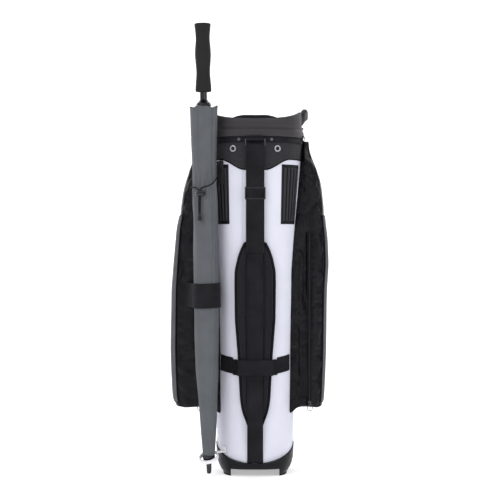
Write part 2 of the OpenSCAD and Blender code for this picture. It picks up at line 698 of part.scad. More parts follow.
// ---------- umbrella holder ----------
loop_z = 48;
loop_in_r = 20.5;
loop_wall_t = 220;
module umbrella_tip_loop() {
  c = umbrella_axis(loop_z) - [0, 0.8, 0];
  p = wall_pt(loop_wall_t, 67, 0.8);
  turn = wall_normal(loop_wall_t);
  reach = norm([c.x - p.x, c.y - p.y]) - loop_in_r - 0.6;
  aim = atan2(c.y - p.y, c.x - p.x);
  color(white) {
    translate(c) rotate([25, -12, 0]) rotate_extrude($fn = 64)
      translate([loop_in_r, -4]) square([3.6, 8]);
    translate([p.x, p.y, 55.5]) rotate([0, 0, aim]) translate([1, -5, 0]) cube([reach - 1, 10, 4]);
    translate(p) rotate([0, 0, turn]) translate([0, -8, -12]) cube([2.4, 16, 15]);
  }
}
strap_z = [411, 470];
strap_loop_r = 33.1;
strap_web_t = 2;
module umbrella_strap_flap() {
  c = umbrella_axis(440);
  color(black) translate([0, 0, strap_z[0]]) linear_extrude(strap_z[1] - strap_z[0])
    strip(concat(
      [for (a = [14 : -14 : -168]) [c.x, c.y] + strap_loop_r * [cos(a), sin(a)]],
      [[-152.6, -106], [-155.6, -94], [-161, -82], [-168.6, -72], [-178, -65.5], [-187, -61]]),
      strap_web_t);
}
hinge_a = 20;
module umbrella_strap_base() {
  c = umbrella_axis(440);
  h = [c.x, c.y] + strap_loop_r * [cos(hinge_a), sin(hinge_a)];
  color(black) translate([0, 0, strap_z[0]]) linear_extrude(strap_z[1] - strap_z[0])
    strip([[h.x - 0.2, h.y + 0.9], [h.x + 0.1, h.y + 4], [h.x + 0.5, h.y + 12],
           [h.x + 1.5, h.y + 22.4]], strap_web_t);
}
module cord_anchor_patch() {
  columns = 6;
  color(charcoal) wall_patch(712, 768, -138.2, -126.6, -138.2, -126.6, 4.1,
                             [for (i = [0 : columns]) 6.1]);
}
// Elastic cord: two legs round the canopy that meet in the lock and hang down to the bell end
cord_front_route = [
  [-90, -98, 748], [-86, -104, 747.5], [-84.4, -112, 745], [-85.4, -121, 740],
  [-88.6, -130, 732.5], [-93.2, -137.6, 724], [-98.2, -143, 715.5], [-104.4, -146.8, 709.5],
  [-112, -149.8, 705.5], [-120, -151.8, 703], [-126.5, -152.6, 701],
  [-130.4, -152.9, 698], [-131.9, -153, 693], [-131.9, -153, 686], [-131.9, -153, 672],
  [-131.9, -153, 656], [-131.9, -153, 640]];
cord_back_route = [
  [-93.4, -90.8, 738], [-99, -85.4, 731], [-107, -81, 724], [-117, -79, 717],
  [-127, -80.5, 711], [-137, -85.5, 707], [-145.5, -92.5, 704], [-151.5, -101, 703],
  [-155, -111, 702], [-156, -121, 702], [-154.5, -131, 702], [-150, -140, 702],
  [-143.6, -147.5, 701], [-137.6, -151.5, 698], [-135.1, -153, 693], [-135.1, -153, 686],
  [-135.1, -153, 672], [-135.1, -153, 656], [-135.1, -153, 640]];
module umbrella_cord_front() { color(black) tube(smooth_line(cord_front_route, 2), cord_d); }
module umbrella_cord_back() { color(black) tube(smooth_line(cord_back_route, 2), cord_d); }
lock_c = [-132, -153, 686.5];
lock_r = 6.6;
module cord_lock_body() {
  color(black) translate(lock_c) difference() {
    union() {
      translate([-5, 0, 0]) rotate([0, 90, 0]) cylinder(h = 13, r = lock_r, $fn = 48);
      translate([-5, 0, 0]) sphere(lock_r, $fn = 48);
    }
    translate([-1.5, 0, -10]) cylinder(h = 20, r = 3.5, $fn = 40);
    translate([3.2, 0, 0]) rotate([0, 90, 0]) cylinder(h = 10, r = 4.38, $fn = 40);
  }
}
module cord_lock_button() {
  color(charcoal) translate(lock_c) {
    translate([6.6, 0, 0]) rotate([0, 90, 0]) cylinder(h = 6, r = 4.3, $fn = 40);
    translate([11.4, 0, 0]) rotate([0, 90, 0]) cylinder(h = 2.2, r = 5.6, $fn = 40);
  }
}
module cord_end() {
  color(black) translate([-133.5, -153, 621]) {
    cylinder(h = 13, r1 = 6.2, r2 = 3.6, $fn = 32);
    translate([0, 0, 13]) cylinder(h = 6, r = 3.6, $fn = 32);
  }
}

rubber_sole();
base_moulding();
liner_tube();
body_shell();
spine_stay();
divider_panels();
divider_top();
collar();
side_handle_right();
side_handle_left();
front_handle();
collar_trim_band();
yoke();
eyelets();
hood_snaps();
ring_anchor_tab();
strap_ring();
strap_webbing_upper();
strap_slider();
shoulder_pad();
strap_webbing_lower();
strap_keeper();
cross_band();
ribbed_panel_right();
ribbed_panel_left();
side_pocket_right();
side_pocket_left();
pocket_face_right();
pocket_face_left();
side_zips();
side_zip_slider_right();
side_zip_slider_left();
pull_ring_right();
pull_ring_left();
ball_pocket();
cooler_pocket();
accessory_pocket();
front_zips();
ball_zip_slider();
cooler_zip_slider();
accessory_zip_slider();
ball_zip_pull();
cooler_zip_pull();
accessory_zip_pull();
umbrella_tip_loop();
umbrella_strap_base();
umbrella_strap_flap();
cord_anchor_patch();
umbrella_cord_front();
umbrella_cord_back();
cord_lock_body();
cord_lock_button();
cord_end();
umbrella_grip();
umbrella_housing();
umbrella_button();
umbrella_shaft();
umbrella_ribs();
umbrella_canopy();
umbrella_ferrule();
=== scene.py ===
"""Golf cart bag with a closed umbrella: how it looks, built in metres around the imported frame."""
import math

import bmesh
import bpy
import numpy as np
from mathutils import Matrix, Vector


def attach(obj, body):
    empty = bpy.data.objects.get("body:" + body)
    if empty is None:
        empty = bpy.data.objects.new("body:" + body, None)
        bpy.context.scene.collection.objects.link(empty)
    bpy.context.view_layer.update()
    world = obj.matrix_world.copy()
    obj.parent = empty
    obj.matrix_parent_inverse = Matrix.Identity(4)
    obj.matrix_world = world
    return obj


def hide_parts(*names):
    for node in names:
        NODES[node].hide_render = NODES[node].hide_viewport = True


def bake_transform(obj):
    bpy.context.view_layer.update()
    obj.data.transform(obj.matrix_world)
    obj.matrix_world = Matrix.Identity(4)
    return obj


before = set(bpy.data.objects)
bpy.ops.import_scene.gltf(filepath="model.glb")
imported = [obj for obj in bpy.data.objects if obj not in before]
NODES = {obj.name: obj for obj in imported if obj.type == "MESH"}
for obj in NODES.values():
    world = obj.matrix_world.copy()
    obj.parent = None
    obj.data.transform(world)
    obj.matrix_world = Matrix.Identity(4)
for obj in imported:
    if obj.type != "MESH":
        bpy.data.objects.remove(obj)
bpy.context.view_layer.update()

# ---------- driving dimensions, in millimetres ----------
BASE_W, TOP_W = 94, 117         # half widths of the body above the base and under the collar
BASE_Z, COLLAR_Z = 60, 826      # heights where those two half widths apply
DEPTH = 1.06                    # depth of the plan outline divided by its width
SQUARE = 2.4                    # exponent of the plan outline, 2 is an ellipse
RIM_SIDE_Z = 896                # top of the collar at the sides
POCKET_LOW, POCKET_FULL, POCKET_TOP = 163.5, 745, 822   # side pocket: foot, end of its full part, tip
PANEL_W, PANEL_H, PANEL_Z = 60, 145, 614                # ribbed panel: width, height, foot
SIDES = ((1, "right"), (-1, "left"))


# ---------- shape of the bag ----------
def bent(v):
    return np.sign(v) * np.abs(v) ** (2 / SQUARE)


def half_w(z):
    return BASE_W + (TOP_W - BASE_W) * (np.minimum(z, COLLAR_Z) - BASE_Z) / (COLLAR_Z - BASE_Z)


def outline(t, a):
    """The plan outline of half width a at the angles t, in degrees from +X."""
    r = np.radians(t)
    return a * bent(np.cos(r)), DEPTH * a * bent(np.sin(r))


def wall(t, z, off=0.0):
    """Points on the body's wall: t in degrees from +X, z up, off outwards."""
    t, z, off = np.broadcast_arrays(np.asarray(t, float), z, off)
    x, y = outline(t, half_w(z) + off)
    return np.stack([x, y, z], -1)


def wall_t(x, z):
    """Angle of the spine side's wall at x and z."""
    q = np.degrees(np.arccos((np.abs(x) / half_w(z)) ** (SQUARE / 2)))
    return -np.where(np.asarray(x) < 0, 180 - q, q)


def sided(t, s):
    """The angle itself on the right side and its mirror on the left."""
    return t if s > 0 else 180 - t


def wall_normal(t):
    c, s = outline(t, 1.0)
    q = SQUARE - 1
    n = np.stack([np.sign(c) * np.abs(c) ** q, np.sign(s) * np.abs(s / DEPTH) ** q / DEPTH,
                  np.full(np.shape(c), -0.03)], -1)
    return unit(n)


def ease(s):
    u = np.clip(s, 0, 1)
    return u * u * (3 - 2 * u)


def ramp(v, a, b):
    return np.clip((v - a) / (b - a), 0, 1)


def soft_lookup(z, table, spread=(-14, -7, 0, 7, 14)):
    """Value of a (z, value) table, averaged over the heights z + spread."""
    return sum(np.interp(z + d, table[:, 0], table[:, 1]) for d in spread) / len(spread)


def rolled(near_edge):
    """Height of a rounded edge, from 0 on the edge to 1 where near_edge reaches 1."""
    return np.sqrt(np.clip(1 - (1 - np.clip(near_edge, 0, 1)) ** 2, 0, 1))


def panel_rise(u, v, wide, high):
    """Height of a panel with rounded edges at u, v from 0 to 1; its sizes are in widths of the edge."""
    return rolled(np.minimum(np.minimum(u, 1 - u) * wide, np.minimum(v, 1 - v) * high))


def hump(v, centre, width):
    return np.exp(-((v - centre) / width) ** 2)


def turn_to(a, b):
    """Smallest turn from b to a, in degrees."""
    return (a - b + 180) % 360 - 180


def base_edge(t):
    """Top of the base moulding, higher at the sides."""
    return 31 + 44 * (1 - np.sqrt(np.clip(1 - bent(np.cos(np.radians(t))) ** 2, 0, 1)))


def yoke_edge(t):
    """Lower edge of the yoke, which dips at the spine and at the front."""
    return 745 + 26 * ease((np.abs(outline(t, 115)[0]) - 25) / 60)


def rim_z(t):
    """Top of the collar, lower at the spine and a little lower at the front."""
    y = outline(t, TOP_W)[1]
    return RIM_SIDE_Z - 26.5 * ramp(-y, 35, 124) - 4 * ramp(y, 35, 124)


TILT = math.radians(1.823)      # the spine's lean towards -Y
SPINE_OUT = np.array([0, -math.cos(TILT), -math.sin(TILT)])


def spine(x, out, z):
    """Points over the spine: x across, out from the wall, z the height along it."""
    x, out, z = np.broadcast_arrays(np.asarray(x, float), out, z)
    up = (z - BASE_Z) / math.cos(TILT)
    return np.stack([x, -DEPTH * BASE_W - out * math.cos(TILT) - up * math.sin(TILT),
                     BASE_Z - out * math.sin(TILT) + up * math.cos(TILT)], -1)


def smooth(points, steps):
    """Catmull-Rom line through the points."""
    p = np.asarray(points, float)
    q = np.vstack([p[:1], p, p[-1:]])
    s = (np.arange(steps) / steps)[:, None]
    parts = [0.5 * (2 * b + (c - a) * s + (2 * a - 5 * b + 4 * c - d) * s ** 2
                    + (3 * b - a - 3 * c + d) * s ** 3)
             for a, b, c, d in zip(q[:-3], q[1:-2], q[2:-1], q[3:])]
    return np.vstack(parts + [p[-1:]])


def along(line):
    return np.concatenate([[0], np.cumsum(np.linalg.norm(np.diff(line, axis=0), axis=1))])


def resample(line, step):
    s = along(line)
    at = np.linspace(0, s[-1], max(2, int(round(s[-1] / step)) + 1))
    return np.stack([np.interp(at, s, line[:, i]) for i in range(line.shape[1])], -1)


def unit(v):
    return v / np.maximum(np.linalg.norm(v, axis=-1, keepdims=True), 1e-9)


def spaced(length, edge, step):
    """Places from 0 to 1 along a length, closer together within edge of both ends."""
    near = edge * np.array([0, 0.04, 0.15, 0.35, 0.65])
    n = max(2, int(round((length - 2 * edge) / step)))
    return np.concatenate([near, np.linspace(edge, length - edge, n + 1), length - near[::-1]]) / length


def ripples(p, seed, waves, low, high, stretch=(1, 1, 1)):
    """Smooth unit relief made of sines of fixed directions and phases."""
    rng = np.random.default_rng(seed)
    total = 0
    for _ in range(waves):
        d = unit(rng.normal(size=p.shape[-1])) * np.array(stretch)[:p.shape[-1]]
        k = 2 * math.pi / rng.uniform(low, high)
        total = total + np.sin(p @ d * k + rng.uniform(0, 6.28))
    return total / math.sqrt(waves)


# ---------- meshes ----------
def placed(name, data):
    """New object in the scene."""
    o = bpy.data.objects.new(name, data)
    bpy.context.scene.collection.objects.link(o)
    return o


def make(name, verts, faces, uv=None):
    me = bpy.data.meshes.new(name)
    me.from_pydata((np.asarray(verts).reshape(-1, 3) * 0.001).tolist(), [], faces)
    if uv is not None:
        layer = me.uv_layers.new(name="UVMap")
        layer.data.foreach_set("uv", np.asarray(uv, np.float32).ravel() * 0.001)
    me.polygons.foreach_set("use_smooth", [True] * len(me.polygons))
    me.update()
    return placed(name, me)


def grid(name, p, around=False, loop=False, caps=False, flip=False):
    """Quads over p[row, column]. Columns close with around, rows with loop, ends with caps."""
    m, n = p.shape[:2]
    i, j = np.meshgrid(np.arange(m if loop else m - 1), np.arange(n if around else n - 1), indexing="ij")
    i, j = i.ravel(), j.ravel()
    i2, j2 = (i + 1) % m, (j + 1) % n
    faces = np.stack([i * n + j, i * n + j2, i2 * n + j2, i2 * n + j], -1)
    du = np.linalg.norm(np.diff(np.concatenate([p, p[:, :1]], 1), axis=1), axis=2).mean(0)
    dv = np.linalg.norm(np.diff(np.concatenate([p, p[:1]], 0), axis=0), axis=2).mean(1)
    u, v = np.concatenate([[0], np.cumsum(du)]), np.concatenate([[0], np.cumsum(dv)])
    uv = np.stack([np.stack([u[j], v[i]], -1), np.stack([u[j + 1], v[i]], -1),
                   np.stack([u[j + 1], v[i + 1]], -1), np.stack([u[j], v[i + 1]], -1)], 1)
    if flip:
        faces, uv = faces[:, ::-1], uv[:, ::-1]
    faces, uv = faces.tolist(), uv.reshape(-1, 2)
    if caps:
        ends = [list(range(n))[::-1], [(m - 1) * n + k for k in range(n)]]
        ends = [e[::-1] for e in ends] if flip else ends
        faces += ends
        uv = np.vstack([uv, np.zeros((2 * n, 2))])
    return make(name, p, faces, uv)


def outward(o):
    """Turns a closed mesh's faces outwards."""
    bm = bmesh.new()
    bm.from_mesh(o.data)
    bmesh.ops.recalc_face_normals(bm, faces=bm.faces)
    bm.to_mesh(o.data)
    bm.free()
    return o


def closed_piece(name, p):
    """Closed piece from rings of points p[ring, point], with flat ends."""
    return outward(grid(name, p, around=True, caps=True))


def joined(name, objects):
    """One object out of several."""
    with bpy.context.temp_override(active_object=objects[0], selected_editable_objects=objects):
        bpy.ops.object.join()
    objects[0].name = name
    return objects[0]


def baked(o):
    """Applies the modifiers."""
    dg = bpy.context.evaluated_depsgraph_get()
    me = bpy.data.meshes.new_from_object(o.evaluated_get(dg), depsgraph=dg)
    o.modifiers.clear()
    o.data = me
    return o


def modifier(o, kind, **values):
    m = o.modifiers.new(kind.lower(), kind)
    for k, v in values.items():
        setattr(m, k, v)
    return m


def bevel(o, width, segments=2, angle=35):
    modifier(o, "BEVEL", width=width * 0.001, segments=segments, limit_method="ANGLE",
             angle_limit=math.radians(angle), harden_normals=False)


def frames(line, closed=False):
    """Tangent and two sideways directions along a line, without twist."""
    if closed:
        tan = unit(np.roll(line, -1, 0) - np.roll(line, 1, 0))
    else:
        tan = unit(np.gradient(line, axis=0))
    ref = np.array([0, 0, 1.0]) if abs(tan[0][2]) < 0.8 else np.array([0, 1.0, 0])
    u = np.zeros_like(line)
    side = unit(np.cross(tan[0], ref))
    for k, d in enumerate(tan):
        side = unit(side - d * (side @ d))
        u[k] = side
    return tan, u, np.cross(tan, u)


def tube(name, line, r, n=10, closed=False, flat=1.0, normal=None):
    """Round or flattened tube along a line; flat is its height along the normal, as a share."""
    line = np.asarray(line, float)
    tan, u, v = frames(line, closed)
    if normal is not None:
        v = unit(normal - tan * np.sum(normal * tan, 1, keepdims=True))
        u = np.cross(v, tan)
    a = np.arange(n) * 2 * math.pi / n
    p = (line[:, None] + r * np.cos(a)[None, :, None] * u[:, None]
         + r * flat * np.sin(a)[None, :, None] * v[:, None])
    return outward(grid(name, p, around=True, loop=closed, caps=not closed))


def webbing(name, line, side, width, thick):
    """Woven band along a line, with rounded selvedges; side is the direction of its width."""
    line = np.asarray(line, float)
    side = unit(np.broadcast_to(np.asarray(side, float), line.shape))
    nrm = unit(np.cross(np.gradient(line, axis=0), side))
    top = np.linspace(1, -1, 9)
    x = np.concatenate([top, [-1.0, -1.0], -top, [1.0, 1.0]])
    y = np.concatenate([np.full(9, 0.5), [0.25, -0.25], np.full(9, -0.5), [-0.25, 0.25]])
    bulge = np.concatenate([np.zeros(9), [0.45, 0.45], np.zeros(9), [0.45, 0.45]])
    ring = (line[:, None] + side[:, None] * (x * width / 2 + np.sign(x) * bulge * thick)[None, :, None]
            + nrm[:, None] * (y * thick)[None, :, None])
    return closed_piece(name, ring)


def lathe(name, profile, n, place):
    """Turned surface from (r, z) points; place maps local points to the frame."""
    prof = np.asarray(profile, float)
    a = np.arange(n) * 2 * math.pi / n
    p = np.stack([prof[:, :1] * np.cos(a), prof[:, :1] * np.sin(a),
                  np.broadcast_to(prof[:, 1:], (len(prof), n))], -1)
    return grid(name, place(p), around=True)


# ---------- stitches ----------
THREADS = {}
STITCH_R = 0.34


def sew(thread, line, normal, pitch=4.4, length=3.1, body="bag"):
    """Lays a row of stitches along a line; they are made into one mesh per thread at the end."""
    line = np.asarray(line, float)
    both = np.hstack([line, np.broadcast_to(np.asarray(normal, float), line.shape)])
    s = along(line)
    at = np.arange(pitch / 2, s[-1] - pitch / 4, pitch)
    pick = [np.stack([np.interp(at + d, s, both[:, i]) for i in range(6)], -1) for d in (0, -0.6, 0.6)]
    c, n = pick[0][:, :3], unit(pick[0][:, 3:])
    tan = unit(pick[2][:, :3] - pick[1][:, :3])
    b = np.cross(tan, n)
    a = np.arange(6) * math.pi / 3
    # place along the stitch, thickness and lift of each ring
    shape = [(-0.5, 0.25, -0.25), (-0.34, 1, 0.1), (0, 1.1, 0.25), (0.34, 1, 0.1), (0.5, 0.25, -0.25)]
    rings = []
    for k, q, lift in shape:
        up = STITCH_R * (lift + q * np.cos(a))
        across = STITCH_R * q * np.sin(a)
        rings.append(c[:, None] + tan[:, None] * k * length + n[:, None] * up[None, :, None]
                     + b[:, None] * across[None, :, None])
    THREADS.setdefault((thread, body), []).append(np.stack(rings, 1))


def finish_threads():
    for (thread, body), parts in THREADS.items():
        p = np.concatenate(parts)
        count = len(p)
        quads = np.array([[i * 6 + j, i * 6 + (j + 1) % 6, (i + 1) * 6 + (j + 1) % 6, (i + 1) * 6 + j]
                          for i in range(4) for j in range(6)])
        faces = (quads[None] + 30 * np.arange(count)[:, None, None]).reshape(-1, 4)
        o = make(f"thread_{thread}_{body}", p, faces.tolist())
        dress(o, thread, body=body)


# ---------- materials ----------
MATS = {}


def set_inputs(node, values):
    for k, v in values.items():
        node.inputs[k].default_value = v


def new_material(name, rgb, rough, metallic=0.0, specular=0.5, coat=0.0):
    m = bpy.data.materials.new(name)
    MATS[name] = m
    m.use_nodes = True
    set_inputs(bsdf(m), {"Base Color": (*rgb, 1), "Roughness": rough, "Metallic": metallic,
                         "Specular IOR Level": specular, "Coat Weight": coat, "Coat Roughness": 0.2})
    m.diffuse_color = (*rgb, 1)
    return m


def add(m, kind, values=None, **props):
    n = m.node_tree.nodes.new(kind)
    for k, v in props.items():
        setattr(n, k, v)
    set_inputs(n, values or {})
    return n


def link(m, a, b):
    m.node_tree.links.new(a, b)


def bsdf(m):
    return m.node_tree.nodes["Principled BSDF"]


def coords(m, kind):
    found = m.node_tree.nodes.get("coords") or add(m, "ShaderNodeTexCoord", name="coords")
    return found.outputs[kind]


def noise(m, scale, detail=3.0, stretch=None):
    n = add(m, "ShaderNodeTexNoise", {"Scale": scale, "Detail": detail})
    src = coords(m, "Object")
    if stretch:
        mp = add(m, "ShaderNodeMapping", {"Scale": stretch})
        link(m, src, mp.inputs["Vector"])
        src = mp.outputs["Vector"]
    link(m, src, n.inputs["Vector"])
    return n.outputs["Fac"]


def blend_colours(m, fac, dark, light, low=0.3, high=0.7):
    """Colour that varies with a 0 to 1 value."""
    r = add(m, "ShaderNodeValToRGB")
    r.color_ramp.elements[0].position, r.color_ramp.elements[1].position = low, high
    r.color_ramp.elements[0].color, r.color_ramp.elements[1].color = (*dark, 1), (*light, 1)
    link(m, fac, r.inputs["Fac"])
    return r.outputs["Color"]


def tint(m, *values):
    """Base colour that varies with a 0 to 1 value."""
    link(m, blend_colours(m, *values), bsdf(m).inputs["Base Color"])


def vary_rough(m, fac, low, high):
    r = add(m, "ShaderNodeMapRange", {"To Min": low, "To Max": high, "From Min": 0.3, "From Max": 0.7})
    link(m, fac, r.inputs["Value"])
    link(m, r.outputs["Result"], bsdf(m).inputs["Roughness"])


def bump(m, height, distance, strength=1.0):
    """Adds a layer of relief; distance in metres."""
    n = add(m, "ShaderNodeBump", {"Distance": distance, "Strength": strength})
    link(m, height, n.inputs["Height"])
    target = bsdf(m).inputs["Normal"]
    if target.links:
        link(m, target.links[0].from_socket, n.inputs["Normal"])
    link(m, n.outputs["Normal"], target)


def math_node(m, op, a, b=None):
    n = add(m, "ShaderNodeMath", operation=op)
    for k, v in enumerate((a, b)):
        if v is None:
            continue
        if isinstance(v, (int, float)):
            n.inputs[k].default_value = v
        else:
            link(m, v, n.inputs[k])
    return n.outputs[0]


def uv_parts(m):
    sep = m.node_tree.nodes.get("uv_parts")
    if not sep:
        sep = add(m, "ShaderNodeSeparateXYZ", name="uv_parts")
        link(m, coords(m, "UV"), sep.inputs[0])
    return sep.outputs[0], sep.outputs[1]


def weave(m, pitch_u, pitch_v, twill=0.0):
    """Height of a woven cloth, with its pitches in metres; twill slants it."""
    u, v = uv_parts(m)
    if twill:
        u = math_node(m, "ADD", u, math_node(m, "MULTIPLY", v, twill))
    a = math_node(m, "SINE", math_node(m, "MULTIPLY", u, 2 * math.pi / pitch_u))
    b = math_node(m, "SINE", math_node(m, "MULTIPLY", v, 2 * math.pi / pitch_v))
    return math_node(m, "MULTIPLY_ADD", math_node(m, "MULTIPLY", a, b), 0.5)


def shades(rgb, amount):
    return tuple(c * (1 - amount) for c in rgb), tuple(min(1, c * (1 + amount)) for c in rgb)


def cloth(name, rgb, rough, pitch, depth, twill=0.0, mottle=0.12, specular=0.06, crease=0.0, speckle=0.0):
    """Woven cloth: pitch of its threads and depth of its relief in metres, crease for soft wrinkles."""
    m = new_material(name, rgb, rough, specular=specular)
    fine = noise(m, 900, 2.0)
    tint(m, fine if speckle else noise(m, 22, 4.0), *shades(rgb, speckle or mottle))
    vary_rough(m, noise(m, 60, 3.0), rough - 0.06, rough + 0.06)
    if crease:
        bump(m, noise(m, 16, 3.0, (1.5, 1.5, 0.55)), crease, 0.5)
        bump(m, noise(m, 60, 2.0, (1.2, 1.2, 0.8)), crease * 0.16, 0.5)
    bump(m, weave(m, *pitch, twill), depth, 0.6)
    bump(m, fine, depth * 0.6, 0.4)


def plastic(name, rgb, rough, grain=0.00012, specular=0.5, coat=0.0, wear=0.0):
    """Moulded plastic with a fine grain; wear lightens its edges."""
    m = new_material(name, rgb, rough, specular=specular, coat=coat)
    broad = noise(m, 14, 4.0)
    if wear:
        geo = add(m, "ShaderNodeNewGeometry")
        lighter = tuple(min(1, c * (1 + wear) + 0.02) for c in rgb)
        worn = blend_colours(m, geo.outputs["Pointiness"], rgb, lighter, 0.5, 0.58)
        base = blend_colours(m, broad, *shades(rgb, 0.1))
        mix = add(m, "ShaderNodeMix", {"Factor": 0.6}, data_type="RGBA", blend_type="LIGHTEN")
        link(m, base, mix.inputs[6])
        link(m, worn, mix.inputs[7])
        link(m, mix.outputs[2], bsdf(m).inputs["Base Color"])
    else:
        tint(m, broad, *shades(rgb, 0.1))
    vary_rough(m, noise(m, 90, 4.0), rough - 0.07, rough + 0.07)
    bump(m, noise(m, 1500, 2.0), grain, 0.5)


def metal(name, rgb, rough):
    """Metal brushed along z."""
    m = new_material(name, rgb, rough, metallic=1.0)
    streaks = noise(m, 60, 4.0, (8, 8, 160))
    tint(m, noise(m, 120, 3.0), *shades(rgb, 0.12))
    vary_rough(m, streaks, rough - 0.08, rough + 0.1)
    bump(m, streaks, 0.00004, 0.4)


def knit(name, rgb):
    """Spacer mesh: small open cells over a padded core."""
    m = new_material(name, rgb, 0.8, specular=0.06)
    cells = add(m, "ShaderNodeTexVoronoi", {"Scale": 1.0, "Randomness": 0.25}, feature="F1")
    mp = add(m, "ShaderNodeMapping", {"Scale": (380, 300, 1)})
    link(m, coords(m, "UV"), mp.inputs["Vector"])
    link(m, mp.outputs["Vector"], cells.inputs["Vector"])
    inv = math_node(m, "SUBTRACT", 1.0, cells.outputs["Distance"])
    tint(m, inv, tuple(c * 0.45 for c in rgb), tuple(c * 1.25 for c in rgb), 0.35, 0.75)
    bump(m, inv, -0.0006, 0.8)
    bump(m, noise(m, 70, 3.0), 0.0008, 0.4)


cloth("white_fabric", (0.66, 0.66, 0.745), 0.55, (0.0009, 0.0009), 0.00012, mottle=0.02, specular=0.2,
      crease=0.0006)
cloth("charcoal_fabric", (0.03, 0.0285, 0.032), 0.7, (0.0012, 0.0012), 0.0003, speckle=0.6, specular=0.08)
cloth("black_binding", (0.007, 0.007, 0.009), 0.6, (0.0012, 0.0012), 0.0003, mottle=0.2, specular=0.05)
cloth("webbing", (0.013, 0.0125, 0.015), 0.6, (0.0028, 0.0013), 0.0007, twill=0.5, mottle=0.3,
      specular=0.06)
knit("pad_mesh", (0.0165, 0.0165, 0.0195))
cloth("black_nylon", (0.0035, 0.0035, 0.005), 0.32, (0.0008, 0.0008), 0.0001, mottle=0.2, specular=0.14,
      crease=0.008)
cloth("grey_fabric", (0.095, 0.098, 0.103), 0.6, (0.0013, 0.0013), 0.0003, mottle=0.12, crease=0.002)
cloth("white_pocket", (0.66, 0.66, 0.745), 0.55, (0.0009, 0.0009), 0.00015, mottle=0.03, specular=0.2,
      crease=0.0015)
cloth("umbrella_cloth", (0.094, 0.1, 0.108), 0.55, (0.0007, 0.0007), 0.00008, mottle=0.08, specular=0.14,
      crease=0.0025)
cloth("liner", (0.02, 0.02, 0.023), 0.75, (0.0014, 0.0014), 0.0003, mottle=0.15)
cloth("zip_tape", (0.007, 0.007, 0.009), 0.7, (0.0011, 0.0008), 0.0003, mottle=0.2)
cloth("elastic_cord", (0.006, 0.006, 0.008), 0.55, (0.0012, 0.0012), 0.0003, mottle=0.3)
plastic("black_plastic", (0.006, 0.006, 0.008), 0.42, specular=0.14, wear=0.6)
plastic("grey_plastic", (0.037, 0.034, 0.037), 0.52, specular=0.12, wear=0.3)
plastic("dark_plastic", (0.014, 0.014, 0.016), 0.45, specular=0.16, wear=0.5)
plastic("ribbed_rubber", (0.007, 0.007, 0.009), 0.45, 0.0002, specular=0.12)
# the ribs are coloured lighter than the panel under them; that extra lightness is a painted highlight along
# the rib tops
plastic("rib_rubber_painted_highlight", (0.024, 0.024, 0.028), 0.42, 0.0002, specular=0.2)
plastic("sole_rubber", (0.01, 0.01, 0.012), 0.75, 0.0003, specular=0.12)
plastic("gloss_black", (0.005, 0.005, 0.007), 0.17, 0.00003, specular=0.4, coat=0.2)
plastic("white_plastic", (0.72, 0.72, 0.74), 0.4, 0.00008)
plastic("foam_grip", (0.02, 0.0195, 0.0205), 0.75, 0.0005, 0.1)
metal("bright_metal", (0.36, 0.36, 0.37), 0.36)
metal("dull_metal", (0.09, 0.09, 0.095), 0.36)
metal("stay_metal", (0.5, 0.5, 0.5), 0.4)
metal("zip_metal", (0.06, 0.06, 0.065), 0.34)
metal("umbrella_steel", (0.07, 0.07, 0.075), 0.35)
cloth("thread_black", (0.012, 0.012, 0.014), 0.6, (0.0006, 0.0006), 0.0001)
cloth("thread_grey", (0.07, 0.07, 0.075), 0.6, (0.0006, 0.0006), 0.0001)
cloth("thread_white", (0.58, 0.58, 0.66), 0.6, (0.0006, 0.0006), 0.0001)


def dress(o, mat, nodes=(), body="bag"):
    """Gives a piece its material and its body, and hides the CAD nodes it stands for."""
    o.data.materials.clear()
    o.data.materials.append(MATS[mat])
    if body:
        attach(o, body)
    if nodes:
        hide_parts(*nodes)


# ---------- camera, light and floor ----------
def camera():
    c = bpy.data.cameras.new("camera")
    c.lens, c.sensor_width, c.clip_end = 108, 36, 50
    o = placed("camera", c)
    o.location = (-0.0125, -3.75, 0.551)
    o.rotation_euler = (math.pi / 2, 0, 0)
    bpy.context.scene.camera = o


def area_light(name, place, aim, size, power):
    d = bpy.data.lights.new(name, "AREA")
    d.shape, d.size, d.size_y, d.energy = "RECTANGLE", size[0], size[1], power
    o = placed(name, d)
    o.location = place
    o.rotation_euler = (Vector(aim) - Vector(place)).to_track_quat("-Z", "Y").to_euler()


def studio():
    w = bpy.data.worlds.new("studio")
    w.use_nodes = True
    set_inputs(w.node_tree.nodes["Background"], {"Color": (0.97, 0.98, 1.0, 1), "Strength": 0.62})
    bpy.context.scene.world = w
    bpy.context.scene.view_settings.view_transform = "Standard"
    area_light("key", (-1.8, -2.8, 2.2), (0, 0, 0.55), (1.6, 1.6), 30)
    area_light("fill", (2.1, -2.6, 1.3), (0, 0, 0.5), (1.6, 1.8), 20)
    area_light("top", (0, 0.2, 3.2), (0, 0, 0), (2.4, 2.4), 22)
    area_light("back_left", (-2.0, 1.6, 1.6), (0, 0, 0.6), (1.0, 1.6), 13)
    area_light("back_right", (2.0, 1.6, 1.6), (0, 0, 0.6), (1.0, 1.6), 13)
    a = np.radians(np.linspace(0, 90, 13))
    back = [(-16000, 0)] + [(2600 + 1400 * math.sin(k), 1400 * (1 - math.cos(k))) for k in a] + [(4000, 7000)]
    p = np.array([[[x, y, z] for x in (-14000, 14000)] for y, z in back])
    floor = grid("floor", p)
    m = new_material("studio_floor", (0.93, 0.93, 0.94), 0.7, specular=0.2)
    tint(m, noise(m, 3, 2.0), (0.925, 0.925, 0.935), (0.935, 0.935, 0.945))
    set_inputs(bsdf(m), {"Emission Color": (1, 1, 1, 1), "Emission Strength": 0.42})
    floor.data.materials.append(m)


